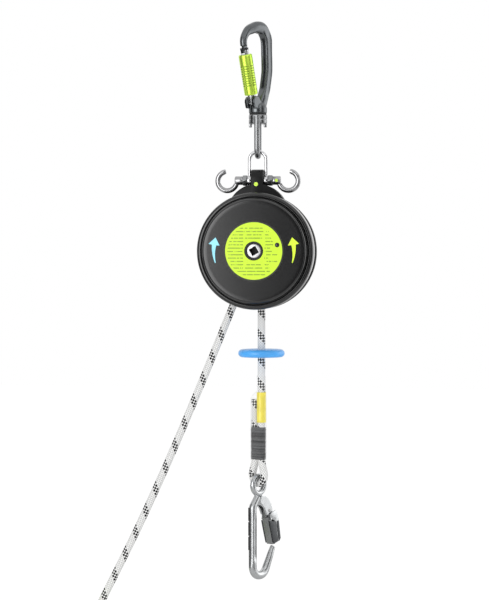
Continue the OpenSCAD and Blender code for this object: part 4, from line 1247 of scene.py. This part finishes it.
class DESCENT_OT_rope_ends(bpy.types.Operator):
    """Make the stoppers, and on each rope end the film sleeve, the whipping and the marker"""

    bl_idname = "descent.rope_ends"
    bl_label = "Rope ends"

    def execute(self, context):
        places = {"right": moved(4.5, 0, -400.2), "left": moved(-212.7, 0, -741.5) @ turned(26.8, "Y")}
        for side, end in ENDS.items():
            self.stopper(side, "blue" if side == "right" else "lime", places[side])
            self.film(side, end)
            self.whipping(side, end)
            self.marker(side, end)
        return {"FINISHED"}

    def stopper(self, side, tint, place):
        face = [(22.5, 4.7), (20.5, 4.0), (12.5, 3.9), (10.6, 4.6), (9.5, 4.75), (6, 4.75), (5.2, 4.4)]
        line = mirrored(face, bend(24.4, 0, 4.85, -90, 90, 15))
        bm = lathe(line + line[:1], 96, place)
        body, look, slot = f"stopper_{side}", f"{tint}_stopper", f"{tint}_plastic"
        piece(f"{side}_stopper", bm, body, look, f"stopper_{tint}", 50)

    def film(self, side, end):
        heights = [
            0, -0.6, -4, -9, -14, -18, -20, -22, -24, -26, -28, -30, -36, -44, -52, -60, -64, -68, -76, -86,
            -96, -102, -105, -106.6, -107,
        ]
        seed = 3.0 if side == "right" else 8.0

        def ring_at(i):
            z = heights[i]
            spread = eased([(0, 0), (17, 0), (29, STRANDS), (200, STRANDS)], -z)
            swell = eased([(0, 5.9), (16, 5.75), (30, 6.35), (62, 6.3), (67, 6.6), (104, 6.6), (107, 6.3)], -z)
            return stadium(swell + 0.12 * noise.noise((z * 0.21, seed, 0)), spread)

        bm = sweep([moved(0, 0, z) for z in heights], ring_at)
        bmesh.ops.delete(bm, geom=[f for f in bm.faces if len(f.verts) > 4], context="FACES")
        bm = shaped(bm, "SOLIDIFY", thickness=0.35, offset=-1)
        nodes = f"{side}_sleeve_clear"
        piece(f"{side}_film_sleeve", bm, "housing", "clear_film", nodes, 50, end)

    def whipping(self, side, end):
        length, turn, per_turn = 41, 0.8, 4
        count = round(length / turn) * per_turn

        def ring_at(i):
            lay = i % per_turn / per_turn
            loop = i // per_turn
            r = 5.3 + 0.28 * math.sin(math.pi * lay) + 0.3 * noise.noise((loop * 0.37, 0.4, 2.0))
            return stadium(r - eased([(0, 0.25), (3, 0), (count - 3, 0), (count, 0.25)], i), STRANDS)

        bm = sweep([moved(0, 0, -65 - length * i / count) for i in range(count + 1)], ring_at)
        nodes = f"{side}_whipping"
        piece(f"{side}_whipping_turns", bm, "housing", "dark_thread", nodes, 70, end)

    def marker(self, side, end):
        bm = bmesh.new()
        line = [bm.verts.new((x, y, -21)) for x, y in bend(0, 0, 5.7, 34, 326, 40)]
        edges = [bm.edges.new(pair) for pair in zip(line, line[1:])]
        for _ in range(19):
            made = bmesh.ops.extrude_edge_only(bm, edges=edges)["geom"]
            new = [g for g in made if isinstance(g, bmesh.types.BMVert)]
            edges = [g for g in made if isinstance(g, bmesh.types.BMEdge) and all(v in new for v in g.verts)]
            bmesh.ops.translate(bm, verts=new, vec=(0, 0, -2))
            for v in new:
                ripple = 0.1 * noise.noise((v.co.x * 0.5, v.co.y * 0.5, v.co.z * 0.16))
                v.co.xy = v.co.xy.normalized() * (5.66 + ripple)
        bm = shaped(bm, "SOLIDIFY", thickness=0.55, offset=0)
        piece(f"{side}_marker", bm, "housing", "marker_film", f"{side}_rope_label", 50, end)


# ---- Snap hooks ----


class DESCENT_OT_snap_hooks(bpy.types.Operator):
    """Make the two snap hooks, each with its gate, finger lever and grip"""

    bl_idname = "descent.snap_hooks"
    bl_label = "Snap hooks"

    def execute(self, context):
        for side, end in ENDS.items():
            place = end @ HOOK
            self.body(side, place)
            self.gate(side, place)
            self.lever(side, place)
        return {"FINISHED"}

    def body(self, side, place):
        path = rounded([(-2, -17), (-11.4, -29), (-11.4, -116.6), (11, -116.6), (29.3, -83)], [8, 13, 14])
        where = shares(path)
        in_plane = [(0, 4.2), (0.1, 4.6), (0.5, 4.6), (0.62, 5.2), (0.78, 5.4), (0.94, 4.2), (1, 3.4)]
        thick = [(0, 4.2), (0.1, 4.5), (0.55, 4.5), (0.7, 4.9), (0.9, 4.3), (1, 3.4)]
        channel = [(0, 0), (0.14, 0), (0.2, 0.9), (0.48, 0.9), (0.55, 0), (1, 0)]
        square = [(0, 2.2), (0.2, 3), (0.5, 3), (0.62, 2.2), (1, 2.1)]

        def ring_at(i):
            a, b, depth, power = (eased(stops, where[i]) for stops in (in_plane, thick, channel, square))
            ring = []
            for x, y in oval(a, b, power, 48):
                dip = max(0.0, 1 - (x / (0.5 * a)) ** 4) * depth if abs(y) > 0.6 * b else 0
                ring.append((x, y - math.copysign(dip, y)))
            return ring

        bm = sweep(stations(path), ring_at)
        lathe(bend(10.8, 0, 3.65, 0, 360, 24), 72, moved(0, 0, -2) @ turned(90, "X"), bm)
        prism([(1, -15), (11, -18), (14, -26), (2, -28), (-4, -23)], -4.2, 4.2, bm)
        cheek = [
            (1, -15), (9, -16.5), (14.5, -20.5), (19.5, -26.5), (22, -33), (22.2, -38), (19, -41.6), (11, -41),
            (7, -33), (1, -27), (-3, -23),
        ]
        for low, high in ((-5.15, -2.8), (2.8, 5.15)):
            prism(cheek, low, high, bm)
        hook = f"{side}_hook"
        bm = forged(bm, 0.42, 2)
        piece(f"{side}_snap_hook", bm, hook, "bright_alloy", f"{side}_hook_body", 60, place)
        bm = lathe(mirrored([(2.7, 4.9), (2.3, 5.4), (1.4, 5.8), (0, 5.9)]), 32, GATE_PIVOT)
        piece(f"{side}_hook_rivet", bm, hook, "gear_steel", "", 50, place)
        bm = bmesh.new()
        for low, high in ((-83, -66.2), (-64.8, -47.6), (-46.2, -29.5)):
            block((-16.25, 0.4, low), (-15.4, 3.5, high), bm=bm)
        piece(f"{side}_hook_inlay", soften(bm, 0.25, 2), hook, "dark_inlay", "", 40, place)

    def gate(self, side, place):
        bm = lathe(mirrored([(5, 2.1), (4.6, 2.5), (0, 2.5)]), 40, GATE_PIVOT)
        prism([(11.4, -37), (20, -38.5), (28.6, -79.2), (23, -79.6)], -2.4, 2.4, bm)
        prism([(12.6, -44.5), (19, -44.5), (28.6, -79.2), (23, -79.6)], -4.8, 4.8, bm)
        soften(bm, 0.6)
        body = f"{side}_gate"
        piece(f"{side}_snap_gate", bm, body, "satin_alloy", f"{side}_hook_gate", 40, place)

    def lever(self, side, place):
        plate = [
            (15.2, -41), (17.5, -38.6), (26.6, -35.8), (28.4, -37.2), (32.6, -48), (36.4, -72.6), (33.8, -76.6),
            (30.8, -71.2), (27.2, -56), (24.5, -49), (18, -46.4), (15.4, -44.6),
        ]
        body = f"{side}_lever"
        bm = bmesh.new()
        for low, high in ((-7.05, -5.5), (5.5, 7.05)):
            prism(plate, low, high, bm)
        prism([(31, -47.7), (32.5, -48), (36.4, -72.4), (34.9, -73)], -7, 7, bm)
        soften(bm, 0.4)
        lathe(mirrored([(1.9, 7.1), (1.3, 7.5), (0, 7.6)]), 32, moved(17, 0, -46.5) @ ALONG_Y, bm)
        piece(f"{side}_snap_lever", bm, body, "bright_alloy", f"{side}_hook_lever", 40, place)
        grip = [(28.4, -48.6), (32.7, -48.4), (36.7, -72.8), (33.9, -76.9), (30.6, -71.4), (27.4, -57)]
        pad = [(29.6, -50.2), (32.3, -49.6), (36.1, -72.4), (33.9, -75.8), (31.6, -71.2), (29.2, -57)]
        web = [(14.2, -48.6), (27.6, -50.6), (29.8, -70.2), (31.2, -76.4), (23.2, -78.4), (17.4, -60)]
        bm = prism(grip, -5.2, 5.2)
        for outline, low, high in ((pad, 7.0, 7.75), (web, 5.5, 7.3)):
            prism(outline, -high, -low, bm)
            prism(outline, low, high, bm)
        piece(f"{side}_snap_grip", soften(bm, 0.35), body, "lever_grip", "", 40, place)


# ---- Panel and registration ----

STEPS = (
    DESCENT_OT_stage, DESCENT_OT_ropes, DESCENT_OT_karabiner, DESCENT_OT_swivel, DESCENT_OT_shackle,
    DESCENT_OT_housing, DESCENT_OT_face, DESCENT_OT_works, DESCENT_OT_rope_ends, DESCENT_OT_snap_hooks,
    DESCENT_OT_cords,
)
LOOKS = {
    "descent_rope": RopeLook, "descent_metal": MetalLook, "descent_housing": HousingLook,
    "descent_stage": StageLook,
}


class DESCENT_PT_panel(bpy.types.Panel):
    """Sizes, colours and pieces of the descent device"""

    bl_idname = "DESCENT_PT_panel"
    bl_label = "Descent device"
    bl_space_type = "VIEW_3D"
    bl_region_type = "UI"
    bl_category = "Descent"

    def draw(self, context):
        for name, look in LOOKS.items():
            box = self.layout.box()
            for key in look.__annotations__:
                box.prop(getattr(context.scene, name), key)
        for step in STEPS:
            self.layout.operator(step.bl_idname)


def register():
    for cls in (*LOOKS.values(), *STEPS, DESCENT_PT_panel):
        bpy.utils.register_class(cls)
    for name, look in LOOKS.items():
        setattr(bpy.types.Scene, name, bpy.props.PointerProperty(type=look))


def unregister():
    for name in LOOKS:
        delattr(bpy.types.Scene, name)
    for cls in (DESCENT_PT_panel, *reversed(STEPS), *reversed(LOOKS.values())):
        bpy.utils.unregister_class(cls)


def main():
    register()
    for step in STEPS:
        group, name = step.bl_idname.split(".")
        getattr(getattr(bpy.ops, group), name)()


if __name__ == "__main__":
    main()
